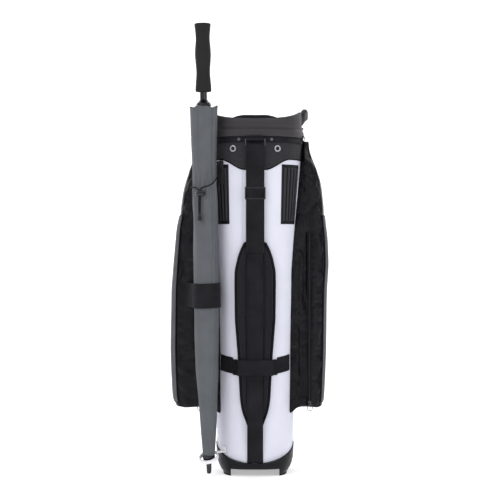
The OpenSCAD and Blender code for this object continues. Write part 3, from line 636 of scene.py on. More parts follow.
# ---------- elastic cord ----------
CORD_FRONT = [
    (-90, -98, 748), (-86, -104, 747.5), (-84.4, -112, 745), (-85.4, -121, 740),
    (-88.6, -130, 732.5), (-93.2, -137.6, 724), (-98.2, -143, 715.5), (-104.4, -146.8, 709.5),
    (-112, -149.8, 705.5), (-120, -151.8, 703), (-126.5, -152.6, 701),
    (-130.4, -152.9, 698), (-131.9, -153, 693), (-131.9, -153, 686), (-131.9, -153, 672),
    (-131.9, -153, 656), (-131.9, -153, 640)]
CORD_BACK = [
    (-93.4, -90.8, 738), (-99, -85.4, 731), (-107, -81, 724), (-117, -79, 717),
    (-127, -80.5, 711), (-137, -85.5, 707), (-145.5, -92.5, 704), (-151.5, -101, 703),
    (-155, -111, 702), (-156, -121, 702), (-154.5, -131, 702), (-150, -140, 702),
    (-143.6, -147.5, 701), (-137.6, -151.5, 698), (-135.1, -153, 693), (-135.1, -153, 686),
    (-135.1, -153, 672), (-135.1, -153, 656), (-135.1, -153, 640)]
CORD_D = 3.0


def cord(name, route, node):
    line = smooth(route, 4)
    c = bpy.data.curves.new(name, "CURVE")
    c.dimensions = "3D"
    c.bevel_depth, c.bevel_resolution, c.use_fill_caps = CORD_D / 2000, 4, True
    s = c.splines.new("POLY")
    s.points.add(len(line) - 1)
    s.points.foreach_set("co", np.hstack([line * 0.001, np.ones((len(line), 1))]).ravel())
    o = placed(name, c)
    dress(o, "elastic_cord", [node])


# ---------- cloth simulation ----------
PUFF_FRAMES = 20


def puff(o, held, pressure, cap, grow=0.0, stiff=12.0, bend=0.4):
    """Blows a closed cloth up, holds its held points and keeps the others within cap of their start."""
    group = o.vertex_groups.new(name="held")
    group.add(np.nonzero(held)[0].tolist(), 1.0, "REPLACE")
    mod = modifier(o, "CLOTH")
    values = dict(vertex_group_mass="held", quality=6, mass=0.25, tension_stiffness=stiff,
                  compression_stiffness=stiff, shear_stiffness=stiff, bending_stiffness=bend,
                  use_pressure=True, uniform_pressure_force=pressure, shrink_min=-grow)
    for k, v in values.items():
        setattr(mod.settings, k, v)
    mod.settings.effector_weights.gravity = 0
    mod.point_cache.frame_start, mod.point_cache.frame_end = 1, PUFF_FRAMES
    scene = bpy.context.scene
    rest = np.empty(len(o.data.vertices) * 3)
    o.data.vertices.foreach_get("co", rest)
    rest = rest.reshape(-1, 3)
    for f in range(1, PUFF_FRAMES + 1):
        scene.frame_set(f)
        bpy.context.view_layer.update()
    blown = np.empty(len(rest) * 3)
    o.evaluated_get(bpy.context.evaluated_depsgraph_get()).data.vertices.foreach_get("co", blown)
    move = blown.reshape(-1, 3) - rest
    far = np.linalg.norm(move, axis=1, keepdims=True)
    limit = cap * 0.001
    move *= np.where(far > 1e-9, limit * np.tanh(far / limit) / np.maximum(far, 1e-9), 1)
    o.modifiers.clear()
    o.vertex_groups.clear()
    o.data.vertices.foreach_set("co", (rest + move).ravel())
    o.data.update()
    scene.frame_set(1)


def stuff(o, held, pressure, cap, levels, **how):
    """Blows a cushion up and smooths it."""
    puff(o, held.ravel(), pressure, cap, **how)
    modifier(o, "SUBSURF", levels=levels, render_levels=levels)
    baked(o)


# ---------- base ----------
def base():
    t = np.arange(240) * 1.5
    c, n = np.cos(np.radians(t)), np.sin(np.radians(t))

    def plan(z, off=0.0):
        """Plan outline of the moulding, squarer and deeper towards the feet."""
        z = np.broadcast_to(z, t.shape).astype(float)
        a = np.interp(z, [4, 17, 26, 34, 46, 90], [79, 87.5, 92, 94.3, 95.8, 97.6])
        q = 2 / np.interp(z, [4, 26, 60], [3.2, 2.8, 2.4])
        d = DEPTH * np.interp(z, [4, 17, 26, 46, 90], [1.24, 1.12, 1.07, 1.03, 1])
        x, y = a * np.sign(c) * np.abs(c) ** q, d * a * np.sign(n) * np.abs(n) ** q
        grow = (1 + off / np.hypot(x, y))
        return np.stack([x * grow, y * grow, z], -1)

    def flat(a, z):
        return np.stack([*outline(t, a), np.broadcast_to(float(z), t.shape)], -1)

    top = base_edge(t)
    rows = [flat(62, 17), flat(62, 4.0), plan(4, -1.2), plan(4.6, -0.2), plan(6), plan(9, 0.3), plan(13, 0.5),
            plan(17, 0.3), plan(21, 0.4), plan(26)]
    rows += [plan(26 + k * (top - 26)) for k in (0.3, 0.6, 0.85, 0.97)]
    rows += [wall(t, top, 0.2), wall(t, top, -1.2), wall(t, top, -2.4), flat(half_w(26) - 2.4, 26),
             flat(84, 26), flat(84, 22)]
    o = closed_piece("base_shell", np.array(rows))
    # the channel between the two feet runs under the whole base
    plan_cut = [(-58.5, -120), (58.5, -120), (63, 120), (-63, 120)]
    cut = make("channel", [(x, y, z) for z in (-1, 17) for x, y in plan_cut],
               [[0, 3, 2, 1], [4, 5, 6, 7], [0, 1, 5, 4], [1, 2, 6, 5], [2, 3, 7, 6], [3, 0, 4, 7]])
    modifier(o, "BOOLEAN", operation="DIFFERENCE", object=cut, solver="EXACT")
    bevel(o, 0.9, 2, 40)
    baked(o)
    bpy.data.objects.remove(cut)
    o.data.polygons.foreach_set("use_smooth", [True] * len(o.data.polygons))
    modifier(o, "WEIGHTED_NORMAL", keep_sharp=True)
    dress(o, "black_plastic", ["base_moulding"])


# ---------- body, liner and yoke ----------
def ring_line(z, off, n=361):
    t = np.linspace(0, 360, n)
    z = z(t) if callable(z) else np.full(n, float(z))
    return wall(t, z, off), wall_normal(t)


def body():
    t = np.arange(240) * 1.5
    low = base_edge(t) + 0.3
    rows = [wall(t, low, -2.2), wall(t, low, -0.5), wall(t, low + 0.5, 0.0)]
    x = outline(t, 100)[0]
    front = np.sin(np.radians(t)) > 0
    for k in np.linspace(0.006, 1, 200):
        z = low + k * (812 - low)
        seam = -0.7 * hump(np.abs(x), 66, 1.2) * front - 0.6 * hump(x, -27, 1.0) * ~front
        soft = 0.22 * ripples(wall(t, z), 5, 7, 90, 260, (1, 1, 0.6))
        rows.append(wall(t, z, np.minimum(0.1, -0.15 + soft) + seam))
    o = grid("body_fabric", np.array(rows), around=True)
    dress(o, "white_fabric", ["body_shell"])
    for lift in (5.5, 9.5):
        sew("thread_white", *ring_line(lambda a: base_edge(a) + lift, 0.1))
    for x in (-30.5, -23.5):
        z = np.linspace(45, 742, 300)
        tt = wall_t(np.full(300, x), z)
        sew("thread_white", wall(tt, z, 0.12), wall_normal(tt))
    outer = [wall(t, 26.4, -5), wall(t, 26.4, -2.7), wall(t, 825.8, -2.7)]
    inner = [wall(t, z, -5) for z in np.linspace(825.8, 26.4, 30)]
    o = grid("liner_cloth", np.array(outer + inner), around=True)
    dress(o, "liner", ["liner_tube"])


def yoke():
    t = np.arange(360)
    low = yoke_edge(t)
    rows = [wall(t, low + 0.3, 0.2), wall(t, low + 0.2, 1.1)]
    for k in np.linspace(0.01, 1, 26):
        z = low + k * (812.5 - low)
        rows.append(wall(t, z, 1.35 + 0.18 * ripples(wall(t, z), 9, 6, 30, 90)))
    o = grid("yoke_fabric", np.array(rows), around=True)
    dress(o, "charcoal_fabric", ["yoke"])
    line = ring_line(lambda a: yoke_edge(a) + 0.9, 1.3, 721)[0]
    pipe = tube("yoke_piping", line[:-1], 1.5, closed=True)
    dress(pipe, "black_binding")
    sew("thread_grey", *ring_line(lambda a: yoke_edge(a) + 5.0, 1.55))
    prof = [(0.3, 811.3), (2.4, 811.2), (3.2, 811.8), (3.5, 813), (3.6, 818.5), (3.5, 824),
            (3.2, 825.3), (2.4, 825.8), (0.3, 825.8)]
    o = grid("collar_trim", np.array([wall(t, z, off) for off, z in prof]), around=True)
    dress(o, "webbing", ["collar_trim_band"])
    for z in (813.6, 823.2):
        sew("thread_black", *ring_line(z, 3.6))


# ---------- collar and handles ----------
def collar():
    # angles where the windows at the sides end and where the one at the front begins
    side = math.degrees(math.asin((52 / (DEPTH * TOP_W)) ** (SQUARE / 2)))
    front = math.degrees(math.acos((64 / TOP_W) ** (SQUARE / 2)))
    marks = [-side, side, front, 180 - front, 180 - side, 180 + side]
    close = [m + d for m in marks for d in (-0.9, -0.35, 0, 0.35, 0.9)]
    t = np.unique(np.round(np.concatenate([np.arange(-30, 330, 1.25), close]), 3))
    cut = np.zeros(len(t))
    for a, b in ((-side, side), (front, 180 - front), (180 - side, 180 + side)):
        cut = np.maximum(cut, ramp(t, a - 0.9, a + 0.35) * ramp(-t, -b - 0.9, -b + 0.35))
    cut = ease(cut)
    tier_z = 853                # foot of the upper tier, where the windows end
    top = rim_z(t) * (1 - cut) + (tier_z + 0.4) * cut
    span = top - tier_z
    groove = np.zeros(len(t))
    for x0 in (84.5, 102.7):
        for sx in (1, -1):
            a = float(wall_t(np.array(x0 * sx), 840.0)) % 360
            groove += hump(turn_to(t, a), 0, 0.55)
    # height, reach from the wall and share of the upright grooves of each ring of the lower tier
    low = [(826.4, -5.2, 0), (826.3, 2.4, 0), (826.8, 3.3, 0), (828.2, 4.2, .3), (829.6, 4.6, 1),
           (836, 4.8, 1), (841.5, 4.6, 1), (843.2, 4.1, .5), (844.4, 2.9, 0), (845.2, 2.0, 0),
           (847.8, 1.9, 0), (849.4, 2.2, 0), (850.6, 3.2, 0), (852, 3.9, 0)]
    rows = [wall(t, z, off - 0.9 * g * groove) for z, off, g in low]
    rows += [wall(t, tier_z + span * k, off) for k, off in ((0.08, 4.1), (0.3, 4.2), (0.6, 4.1), (0.86, 3.9))]
    rim = [(-2.2, 3.3), (-0.8, 2.5), (0, 1.2), (0.1, -1), (0, -2.8), (-0.9, -4.2), (-2.4, -5.2), (-5, -5.8)]
    keep = np.minimum(1, span / 12)
    rows += [wall(t, top + dz * keep, off) for dz, off in rim]
    rows += [wall(t, np.minimum(850, top - 3), -7.2), wall(t, 846, -7.7), wall(t, 792.5, -7.7),
             wall(t, 792, -7.2), wall(t, 792, -5.6), wall(t, 792.5, -5.2)]
    o = grid("collar_moulding", np.array(rows), around=True, loop=True)
    outward(o)
    modifier(o, "WEIGHTED_NORMAL", keep_sharp=True)
    dress(o, "grey_plastic", ["collar"])


def grip_bar(name, half_len, height, drop, place):
    """Padded grip that bows outwards and whose ends drop to the collar."""
    # place along it, width, height lost, bow and share of the drop
    half = [(0, 15.5, 0, 16, 0), (0.45, 15, 0, 14, 0), (0.72, 13, 1.5, 9, 0.4), (0.9, 10, 4, 3, 0.85),
            (1, 9, 5, 0, 1)]
    shape = [(-k, *rest) for k, *rest in half[:0:-1]] + half
    a = np.radians(np.arange(40) * 9 + 4.5)
    ring = []
    for k, w, less, out, low in smooth(shape, 10):
        h = height - less
        ripple = 0.35 * math.cos(k * half_len * 2 * math.pi / 9) * (abs(k) < 0.62)
        x = (w / 2 + ripple) * np.sign(np.cos(a)) * np.abs(np.cos(a)) ** 0.8
        z = w / 2 * np.sin(a) + np.sign(np.sin(a)) * (h - w) / 2 - drop * low
        ring.append(np.stack([out + x, np.full(40, k * half_len), z], -1))
    return closed_piece(name, place(np.array(ring)))


def handles():
    reach = 108.5

    def to_front(p):
        return np.stack([-p[..., 1], p[..., 0] + reach, p[..., 2] + 888], -1)
    for s, name in SIDES:
        o = grip_bar(f"side_grip_{name}", 52, 27, 19, lambda p: (p + (reach, 0, 887)) * (s, 1, 1))
        dress(o, "dark_plastic", [f"side_handle_{name}"])
    front = grip_bar("front_grip", 64, 24, 7, to_front)
    dress(front, "black_plastic", ["front_handle"])


# ---------- shoulder strap ----------
PAD = np.array([(126, 19), (138, 24), (160, 32), (187, 36.5), (292, 42), (382, 49),
                (470, 50), (500, 49.5), (534, 42), (558, 33), (568, 26)], float)


def pad_half(z):
    """Half width of the shoulder pad."""
    return soft_lookup(z, PAD, (0, -6, 6))


def shoulder_pad():
    low, high = PAD[0, 0], PAD[-1, 0]
    z = np.linspace(low + 0.5, high - 0.5, 124)
    w = pad_half(z)[:, None] - 3.4
    f = np.array([-1, -0.96, -0.88, -0.78, -0.67, -0.57, -0.49, -0.44, -0.38, -0.25, -0.1])
    f = np.concatenate([f, -f[::-1]])
    front = 4.2 + 4.6 * (1 - np.abs(f) ** 4) - 3.4 * hump(np.abs(f), 0.47, 0.035)
    front = np.where(np.abs(f) < 0.45, np.minimum(front, 7.2), front)
    ends = np.minimum(1, 0.35 + np.minimum(z - low, high - z) / 14)[:, None]
    back_f = f[::-1][1:-1]
    x = np.concatenate([f, back_f])[None] * w
    out = np.concatenate([front * ends, np.full((len(z), len(back_f)), 1.1)], 1)
    out[:, [0, len(f) - 1]] = 3.0
    p = spine(x, out, z[:, None])
    o = closed_piece("shoulder_pad_cushion", p)
    cols = np.concatenate([np.abs(f), np.ones(len(back_f))])
    held = np.broadcast_to((cols > 0.95) | (np.abs(cols - 0.46) < 0.04) | (cols < 0.3), p.shape[:2]).copy()
    held[[0, -1]] = True
    stuff(o, held, 4.0, 1.6, 1)
    dress(o, "pad_mesh", ["shoulder_pad"])
    zz = np.linspace(low + 0.5, high - 0.5, 200)
    ww = pad_half(zz) - 3.0
    edge = np.concatenate([np.stack([-ww, zz], -1), np.stack([ww, zz], -1)[::-1]])
    edge = resample(np.vstack([edge, edge[:1]]), 3.0)[:-1]
    line = spine(edge[:, 0], 4.6, edge[:, 1])
    bind = tube("pad_binding", line, 3.4, 12, closed=True, flat=1.05,
                normal=np.broadcast_to(SPINE_OUT, line.shape))
    dress(bind, "black_binding")
    for s in (-1, 1):
        zz = np.linspace(140, 556, 200)
        sew("thread_grey", spine(s * (pad_half(zz) - 7.6), 7.2, zz), SPINE_OUT, 4.0)
        sew("thread_black", spine(s * (pad_half(zz) - 3.4) * 0.47, 6.4, zz), SPINE_OUT, 4.0)


def band(name, path, step, width, thick, nodes=()):
    """Webbing over the spine along a path of (out, z) points."""
    path = np.asarray(path, float)
    line = resample(spine(0, path[:, 0], path[:, 1]), step)
    o = webbing(name, line, (1, 0, 0), width, thick)
    dress(o, "webbing", nodes)


def sew_spine(x, out, z, pitch, length=3.1):
    """A row of black stitches over the spine."""
    sew("thread_black", spine(x, out, z), SPINE_OUT, pitch, length)


def strap():
    turn = np.radians(np.linspace(245, -60, 26))
    round_ring = np.stack([12 + 3.2 * np.cos(turn), 804.5 + 3.2 * np.sin(turn)], -1)
    to_pad = [(12.6, 797), (12.3, 780), (12.2, 740), (12.3, 712), (12.9, 704), (13.1, 697), (12.2, 690),
              (10.6, 688.5), (10.8, 684), (12.3, 676), (12.5, 660), (12.3, 620), (12.2, 580), (12.1, 543)]
    band("strap_webbing_top", np.vstack([[(10.9, 797)], round_ring, to_pad]), 2.0, 43, 1.7,
         ["strap_webbing_upper"])
    band("strap_webbing_tail", [(10.9, 797.5), (10.6, 780), (10.4, 745), (10.3, 714), (9.2, 700), (9.4, 676),
                                (10.2, 660), (10.4, 640)], 3.0, 42, 1.5)
    tab = [(9.4, 826), (8.6, 822), (9.3, 818.5), (10.4, 816.3), (12, 815.5), (13.7, 816.3), (14.7, 818.5),
           (14, 820.6), (12.2, 821.9), (8, 823.6), (5.8, 825.2)]
    band("ring_tab_webbing", smooth(tab, 4), 1.2, 41, 1.7, ["ring_anchor_tab"])
    for z in (786, 772):
        sew_spine(np.linspace(-19, 19, 30), 12.78, z, 3.4, 2.4)
    for x in (-19, 19):
        sew_spine(x, 12.78, np.linspace(772, 786, 12), 3.4, 2.4)
    low = [(12.1, 542.6), (12.0, 500), (12.0, 400), (12.0, 300), (12.0, 200), (12.0, 123), (10.8, 108),
           (7, 80), (3.0, 50), (2.4, 32.5)]
    band("strap_webbing_bottom", smooth(low, 6), 3.0, 37, 1.7, ["strap_webbing_lower"])
    for x in (-16, 16):
        sew_spine(x, 13.0, np.linspace(134, 556, 260), 4.2)
    for z0, z1 in ((528, 548), (134, 156)):
        for xa in (-15, 15):
            sew_spine(np.linspace(xa, -xa, 20), 13.05, np.linspace(z0, z1, 20), 3.6)
        for z in (z0, z1):
            sew_spine(np.linspace(-15.5, 15.5, 20), 13.05, z, 3.6)
    # the keeper goes from the wall round the pad and back, as (x, out) points
    half = [(20, 14.7), (39.4, 14), (43, 9), (43.4, 3), (44.6, -3), (48, -6.6), (54, -8.8)]
    keep = smooth([(-x, out) for x, out in half[::-1]] + [(0, 14.8)] + half, 5)
    line = resample(spine(keep[:, 0], keep[:, 1], 265.5), 2.0)
    o = webbing("keeper_webbing", line, (0, -math.sin(TILT), math.cos(TILT)), 37, 1.5)
    dress(o, "webbing", ["strap_keeper"])
    for s, name in SIDES:
        t = sided(np.linspace(-62.3, -37.5, 26), s)
        line = wall(t, np.linspace(269.5, 276, 26), 1.3)
        o = webbing(f"cross_band_{name}", line, (0, 0, 1), 38, 1.5)
        dress(o, "webbing", ["cross_band"] if s > 0 else [])
        for dz in (-16, 16):
            sew("thread_black", line + (0, 0, dz) + 0.9 * wall_normal(t), wall_normal(t), 4.0)


# ---------- ribbed panels ----------
def panel_place(u, v):
    """Angle and height of a place on the ribbed panel, which widens upwards."""
    return -60 + (26.5 + 8.5 * v) * u, PANEL_Z + PANEL_H * v


def ribbed_panels():
    rib_len, rib_low = 129, 8
    v = spaced(PANEL_H, 2.2, 4.0)[:, None]
    u = spaced(PANEL_W, 1.6, 0.55)[None]
    rise = panel_rise(u, v, PANEL_W / 1.6, PANEL_H / 2.2)
    across = np.linspace(-1, 1, 13)[None]
    run = spaced(rib_len, 1.6, 1.5)[:, None]
    crown = np.sqrt(np.clip(1 - across ** 4, 0, 1)) * rolled(np.minimum(run, 1 - run) * rib_len / 4)
    for s, name in SIDES:
        t, z = panel_place(u, v)
        o = grid(f"ribbed_panel_{name}_rubber", wall(sided(t, s), z, 0.3 + 1.4 * rise), flip=s < 0)
        dress(o, "ribbed_rubber", [f"ribbed_panel_{name}"])
        ribs = []
        for centre in (0.14, 0.32, 0.5, 0.68, 0.86):
            t, z = panel_place(centre + 0.058 * across, (rib_low + rib_len * run) / PANEL_H)
            off = 1.5 + 2.8 * crown + 0.12 * np.cos(z) * crown
            ribs.append(grid("rib", wall(sided(t, s), z, off), flip=s < 0))
        # the ribs take the lighter rubber, whose lightness is a painted highlight along their tops
        dress(joined(f"ribbed_panel_{name}_ribs", ribs), "rib_rubber_painted_highlight")
        for u0 in (0.03, 0.97):
            t, z = panel_place(u0, np.linspace(0.03, 0.97, 60))
            t = sided(t, s)
            sew("thread_grey", wall(t, z, 1.9), wall_normal(t), 4.0)


# ---------- side pockets ----------
# share of the pocket's reach at each height
REACH = {
    "right": np.array([(163, .84), (186, .866), (246, .896), (306, .916), (426, .93), (456, .94),
                       (516, .99), (576, .962), (636, .872), (666, .802), (696, .765), (726, .69),
                       (756, .525), (786, .33), (809, .235), (820, .2)]),
    "left": np.array([(163, .9), (186, .957), (246, .984), (306, 1), (396, .984), (456, .975), (516, .93),
                      (546, .904), (606, .851), (666, .72), (696, .68), (726, .594), (756, .48),
                      (786, .34), (809, .18), (820, .13)])}
# angle behind -Y where the pocket's back seam meets the wall, at each height
BACK = np.array([(160, 31.7), (300, 35.2), (502, 38), (615, 31.6), (713, 21.9), (770, 14.6), (825, 6)])


def pocket_off(z):
    """How far the pocket's inner side stands off the wall: it passes over the yoke at the top."""
    return 0.5 if z < POCKET_FULL else 2.2 + 2.2 * float(ramp(z, 800, 811))


def pocket_controls(z, name, reach):
    """Points of the pocket's edge at height z, from the back seam to the front seam."""
    k = float(soft_lookup(z, REACH[name], (-8, -4, 0, 4, 8)))
    off = pocket_off(z)
    s = wall(-soft_lookup(z, BACK), z, off)
    f = wall(44.0, z, off)
    side = half_w(z) + off
    x = side + (reach - side) * k - 3 * float(ramp(-z, -660, -636))
    full = float(ramp(k, 0.1, 0.75))
    back_y = -66 * full + (1 - full) * (s[1] - 4)
    corner = -50 * full - 22 * (1 - full)
    return np.array([
        (s[0], s[1]), (s[0] + 0.3 * (133 - s[0]) * full + 2, s[1] * 0.55 + back_y * 0.45 - 2),
        (s[0] + (133 - s[0]) * full + 4 * (1 - full), back_y), (side + (x - side) * 0.88, corner),
        (x - 2, corner * 0.45), (x, 8), (x - 5, 46 * full + 30 * (1 - full)),
        (side + (x - side) * 0.74, 82 * full + 50 * (1 - full)),
        (f[0] + 0.4 * (x - f[0]) * full + 1, 92 * full + 64 * (1 - full)), (f[0], f[1])])


def pocket_edge(z, name, reach, k):
    """Edge points at parameters k, from 0 at the back seam to 9 at the front seam."""
    line = smooth(pocket_controls(z, name, reach), 16)
    at = np.arange(len(line)) / 16
    return np.stack([np.interp(k, at, line[:, 0]), np.interp(k, at, line[:, 1])], -1)


def side_pockets():
    """Gussets in black nylon; k runs along the edge: back panel to 3, face to 7, front panel to 9."""
    z = np.concatenate([np.linspace(POCKET_LOW, POCKET_FULL, 114),
                        np.linspace(POCKET_FULL + 5, POCKET_TOP, 15)])
    k = np.concatenate([np.linspace(0, 3, 26), np.linspace(3.12, 7, 30), np.linspace(7.12, 9, 16)])
    for s, name, reach in ((1, "right", 185), (-1, "left", 211)):
        rows = []
        for zz in z:
            e = pocket_edge(zz, name, reach, k)
            back = wall(np.linspace(44, -soft_lookup(zz, BACK), 12)[1:-1], zz, pocket_off(zz))[:, :2]
            ring = np.vstack([e, back])
            rows.append(np.column_stack([ring, np.full(len(ring), zz)]))
        p = np.array(rows)
        n = len(k)
        share = np.clip(np.minimum(k, 9 - k), 0, 1)
        gus = np.where(k < 3, np.sin(k / 3 * math.pi), 0) + np.where(k > 7, np.sin((k - 7) / 2 * math.pi), 0)
        inward = unit(np.stack([p[:, :n, 0] * 0.4 - p[:, :n, 0], -p[:, :n, 1], 0 * p[:, :n, 2]], -1))
        height = p[:, :n, 2]
        fold = (4.4 * np.sin(k * 3.1 + height / 150 + 1.2 * np.sin(height / 140))
                + 2.4 * np.sin(k * 6.3 - height / 95 + 0.7) + 1.1 * np.sin(k * 9.1 + height / 45))
        fold *= gus * share * ramp(height, 164, 190) * ramp(-height, -735, -640)
        p[:, :n] += inward * (2.6 + fold)[..., None] * (gus > 0)[None, :, None]
        # the foot hangs low at the body and is drawn up at the zip
        hang = (17 * hump(k, 0.35, 0.6) - 4 * hump(k, 1.7, 0.5) + 2.5 * hump(k, 2.8, 0.3)
                + 4 * hump(k, 8.6, 0.5))
        p[:, :n, 2] -= hang * ((k < 3) | (k > 7)) * ramp(-height, -230, -164)
        low = p[0].copy()
        mid = np.column_stack([low[:, 0] * 0.35 + 0.65 * 118, low[:, 1] * 0.35, low[:, 2]])
        caps = [low * (1 - q) + mid * q for q in (0.9, 0.6, 0.3)]
        p = np.concatenate([np.array(caps), p])
        p[:3, :, 2] = np.array([165.5, 164.6, 163.8])[:, None]
        if s < 0:
            p = p * (-1, 1, 1)
        o = closed_piece(f"pocket_gusset_{name}", p)
        held = np.ones(p.shape[:2], bool)
        loose = ((k > 0.35) & (k < 2.0)) | ((k > 2.15) & (k < 2.9)) | ((k > 7.1) & (k < 8.7))
        held[4:-8, :n] = ~loose[None]
        stuff(o, held, 1.2, 7.0, 1, grow=0.06, stiff=9.0, bend=0.08)
        dress(o, "black_nylon", [f"side_pocket_{name}"])
        pocket_face(s, name, reach)
        side_zip(s, name)


def pocket_face(s, name, reach):
    """Stiff panel on the outer side of a pocket, with its piping and stitches."""
    low, high, wide, edge = 176.5, 459, 150, 3.0
    v = spaced(high, edge, 6.0)
    u = spaced(wide, edge, 4.0)
    rows = []
    for vv in v:
        z = low + high * vv
        e = pocket_edge(z, name, reach, 3.0 + 4.0 * u)
        away = unit(e - (half_w(z) * 0.5, 0))
        rise = panel_rise(u, vv, wide / edge, high / edge)
        dome = 0.5 * np.sin(u * math.pi) * math.sin(vv * math.pi)
        e = e + away * (0.4 + 2.2 * rise + dome)[:, None]
        rows.append(np.column_stack([e, np.full(len(u), z)]))
    p = np.array(rows) * (s, 1, 1)
    o = grid(f"pocket_panel_{name}", p, flip=s < 0)
    dress(o, "grey_fabric", [f"pocket_face_{name}"])
    border = np.concatenate([p[0], p[1:-1, -1], p[-1][::-1], p[1:-1, 0][::-1]])
    line = resample(np.vstack([border, border[:1]]), 5.0)[:-1]
    pipe = tube(f"pocket_piping_{name}", line, 1.9, closed=True)
    dress(pipe, "black_binding")
    inner = p[8:-8]
    for col in (7, -8):
        line = inner[:, col]
        out = unit(np.column_stack([line[:, 0], line[:, 1] * 0.6, 0 * line[:, 2]]))
        sew("thread_grey", line + out * 0.3, out)


def zip_run(name, place, start, end, tape=10.0):
    """Zip along z from start to end: woven tapes and a row of interlocked teeth."""
    parts = []
    for s in (-1, 1):
        xs = np.array([0.4, 1.2, tape / 2 - 0.6, tape / 2]) * s
        out = np.array([0.9, 0.5, 0.5, 0.1])
        zz = np.linspace(start, end, 40)
        parts.append(grid("tape", place(xs[None], out[None], zz[:, None]), flip=s < 0))
    o = joined(f"{name}_tape", parts)
    dress(o, "zip_tape")
    pitch = 2.4
    n = int((end - start - 4) / pitch)
    tooth = ((0, 0.3), (1, 0.3), (1, 1.5), (0.75, 1.9), (0.2, 1.9), (0, 1.5))
    box = np.array([(x, y, w) for w in (-0.42, 0.42) for x, y in tooth])
    faces = [[0, 5, 4, 3, 2, 1], [6, 7, 8, 9, 10, 11]]
    faces += [[i, (i + 1) % 6, 6 + (i + 1) % 6, 6 + i] for i in range(6)]
    verts, all_faces = [], []
    for i in range(n):
        for s in (-1, 1):
            c = start + 2 + (i + (0.5 if s > 0 else 0)) * pitch
            q = place((box[:, 0] * 2.3 - 0.6) * s, box[:, 1], c + box[:, 2])
            all_faces += [[f + 12 * len(verts) for f in face] for face in faces]
            verts.append(q)
    o = make(f"{name}_teeth", np.array(verts), all_faces)
    outward(o)
    o.data.polygons.foreach_set("use_smooth", [False] * len(o.data.polygons))
    dress(o, "black_plastic")


def side_zip(s, name):
    turn = math.radians(14)

    def place(x, out, z):
        x, out, z = np.broadcast_arrays(np.asarray(x, float), out, z)
        px = 133 + x * math.cos(turn) + out * math.sin(turn)
        py = -68.4 + x * math.sin(turn) - out * math.cos(turn)
        return np.stack([px * s, py, z], -1)
    zip_run(f"side_zip_{name}", place, 168, 596)


# ---------- front pockets ----------
def front_pocket(name, z0, z1, y_front, half, mat):
    """Padded pocket from height z0 to z1; half is its half width and y_front the place of its face."""
    zip_z = z1 - 26
    n_back, n_side, n_face = 14, 5, 20
    steps = np.array([0, .004, .012, .03, .06, .1, .16, .24, .33, .42, .5])
    steps = np.concatenate([steps, 1 - steps[:-1][::-1]])
    z = z0 + (z1 - z0) * steps
    end = np.minimum(z - z0, z1 - z)
    lift = rolled(end / 12)
    a = np.radians(np.arange(0, 91, 9))
    rows = []
    for zz, up in zip(z, lift):
        w, y, r = half - 3 * (1 - up), y_front - 9 * (1 - up) - 1.5, 22
        back = wall(np.linspace(54, 126, n_back), zz, 0.6)[:, :2]
        side_l = np.linspace(back[-1], (-w, y - r), n_side + 2)[1:-1]
        corner_l = np.stack([-w + r - r * np.cos(a), y - r + r * np.sin(a)], -1)
        face = np.linspace((-w + r, y), (w - r, y), n_face + 2)[1:-1]
        corner_r = np.stack([w - r + r * np.cos(a[::-1]), y - r + r * np.sin(a[::-1])], -1)
        side_r = np.linspace((w, y - r), back[0], n_side + 2)[1:-1]
        ring = np.vstack([back, side_l, corner_l, face, corner_r, side_r])
        rows.append(np.column_stack([ring, np.full(len(ring), zz)]))
    p = np.array(rows)
    o = closed_piece(f"{name}_cushion", p)
    held = np.zeros(p.shape[:2], bool)
    held[:, :n_back] = True
    held[[0, 1, 2, -1, -2, -3]] = True
    # the piped seams run up the middle of the two rounded corners
    seam = [n_back + n_side + 5, n_back + n_side + len(a) + n_face + 5]
    held[:, seam] = True
    near_zip = (np.abs(z - zip_z) < 12)[:, None] & (p[..., 1] > y_front - 4) & (np.abs(p[..., 0]) < 50)
    held |= near_zip
    stuff(o, held, 5.0, 5.0, 2, grow=0.02, bend=0.6)
    dress(o, mat, [name])
    for col in seam:
        pipe = tube(f"{name}_piping_{col}", resample(p[2:-2, col], 4.0), 1.7)
        dress(pipe, "black_binding")
    for row in (2, -3):
        pipe = tube(f"{name}_piping_end_{row % 7}", resample(p[row, seam[0]:seam[1] + 1], 4.0), 1.7)
        dress(pipe, "black_binding")

    def place(across, out, run):
        across, out, run = np.broadcast_arrays(np.asarray(across, float), out, run)
        return np.stack([run, y_front + 0.2 + out, zip_z + across], -1)
    zip_run(f"{name}_zip", place, -47, 47)


# ---------- umbrella ----------
FOOT = np.array([-112, -105, 8.0])
LEAN = np.radians([0.892, -0.81])


def on_umbrella(p):
    cx, sx, cy, sy = math.cos(LEAN[0]), math.sin(LEAN[0]), math.cos(LEAN[1]), math.sin(LEAN[1])
    rx = np.array([[1, 0, 0], [0, cx, -sx], [0, sx, cx]])
    ry = np.array([[cy, 0, sy], [0, 1, 0], [-sy, 0, cy]])
    return p @ (ry @ rx).T + FOOT


def umbrella_axis(z):
    d = on_umbrella(np.array([0, 0, 1.0])) - FOOT
    return FOOT + d * (z - FOOT[2]) / d[2]


HEM, CORD_S = 888, 703          # places of the hem and of the cord along the umbrella
# radius of the rolled cloth and its place along the umbrella
CANOPY = np.array([(14.4, 44), (16.2, 60), (19.4, 100), (21.4, 138), (23.5, 186), (28, 254), (30.4, 400),
                   (30.8, 540), (30.6, 660), (29.2, 690), (28.6, 715), (29.8, 760), (32, 833), (33.6, HEM)])


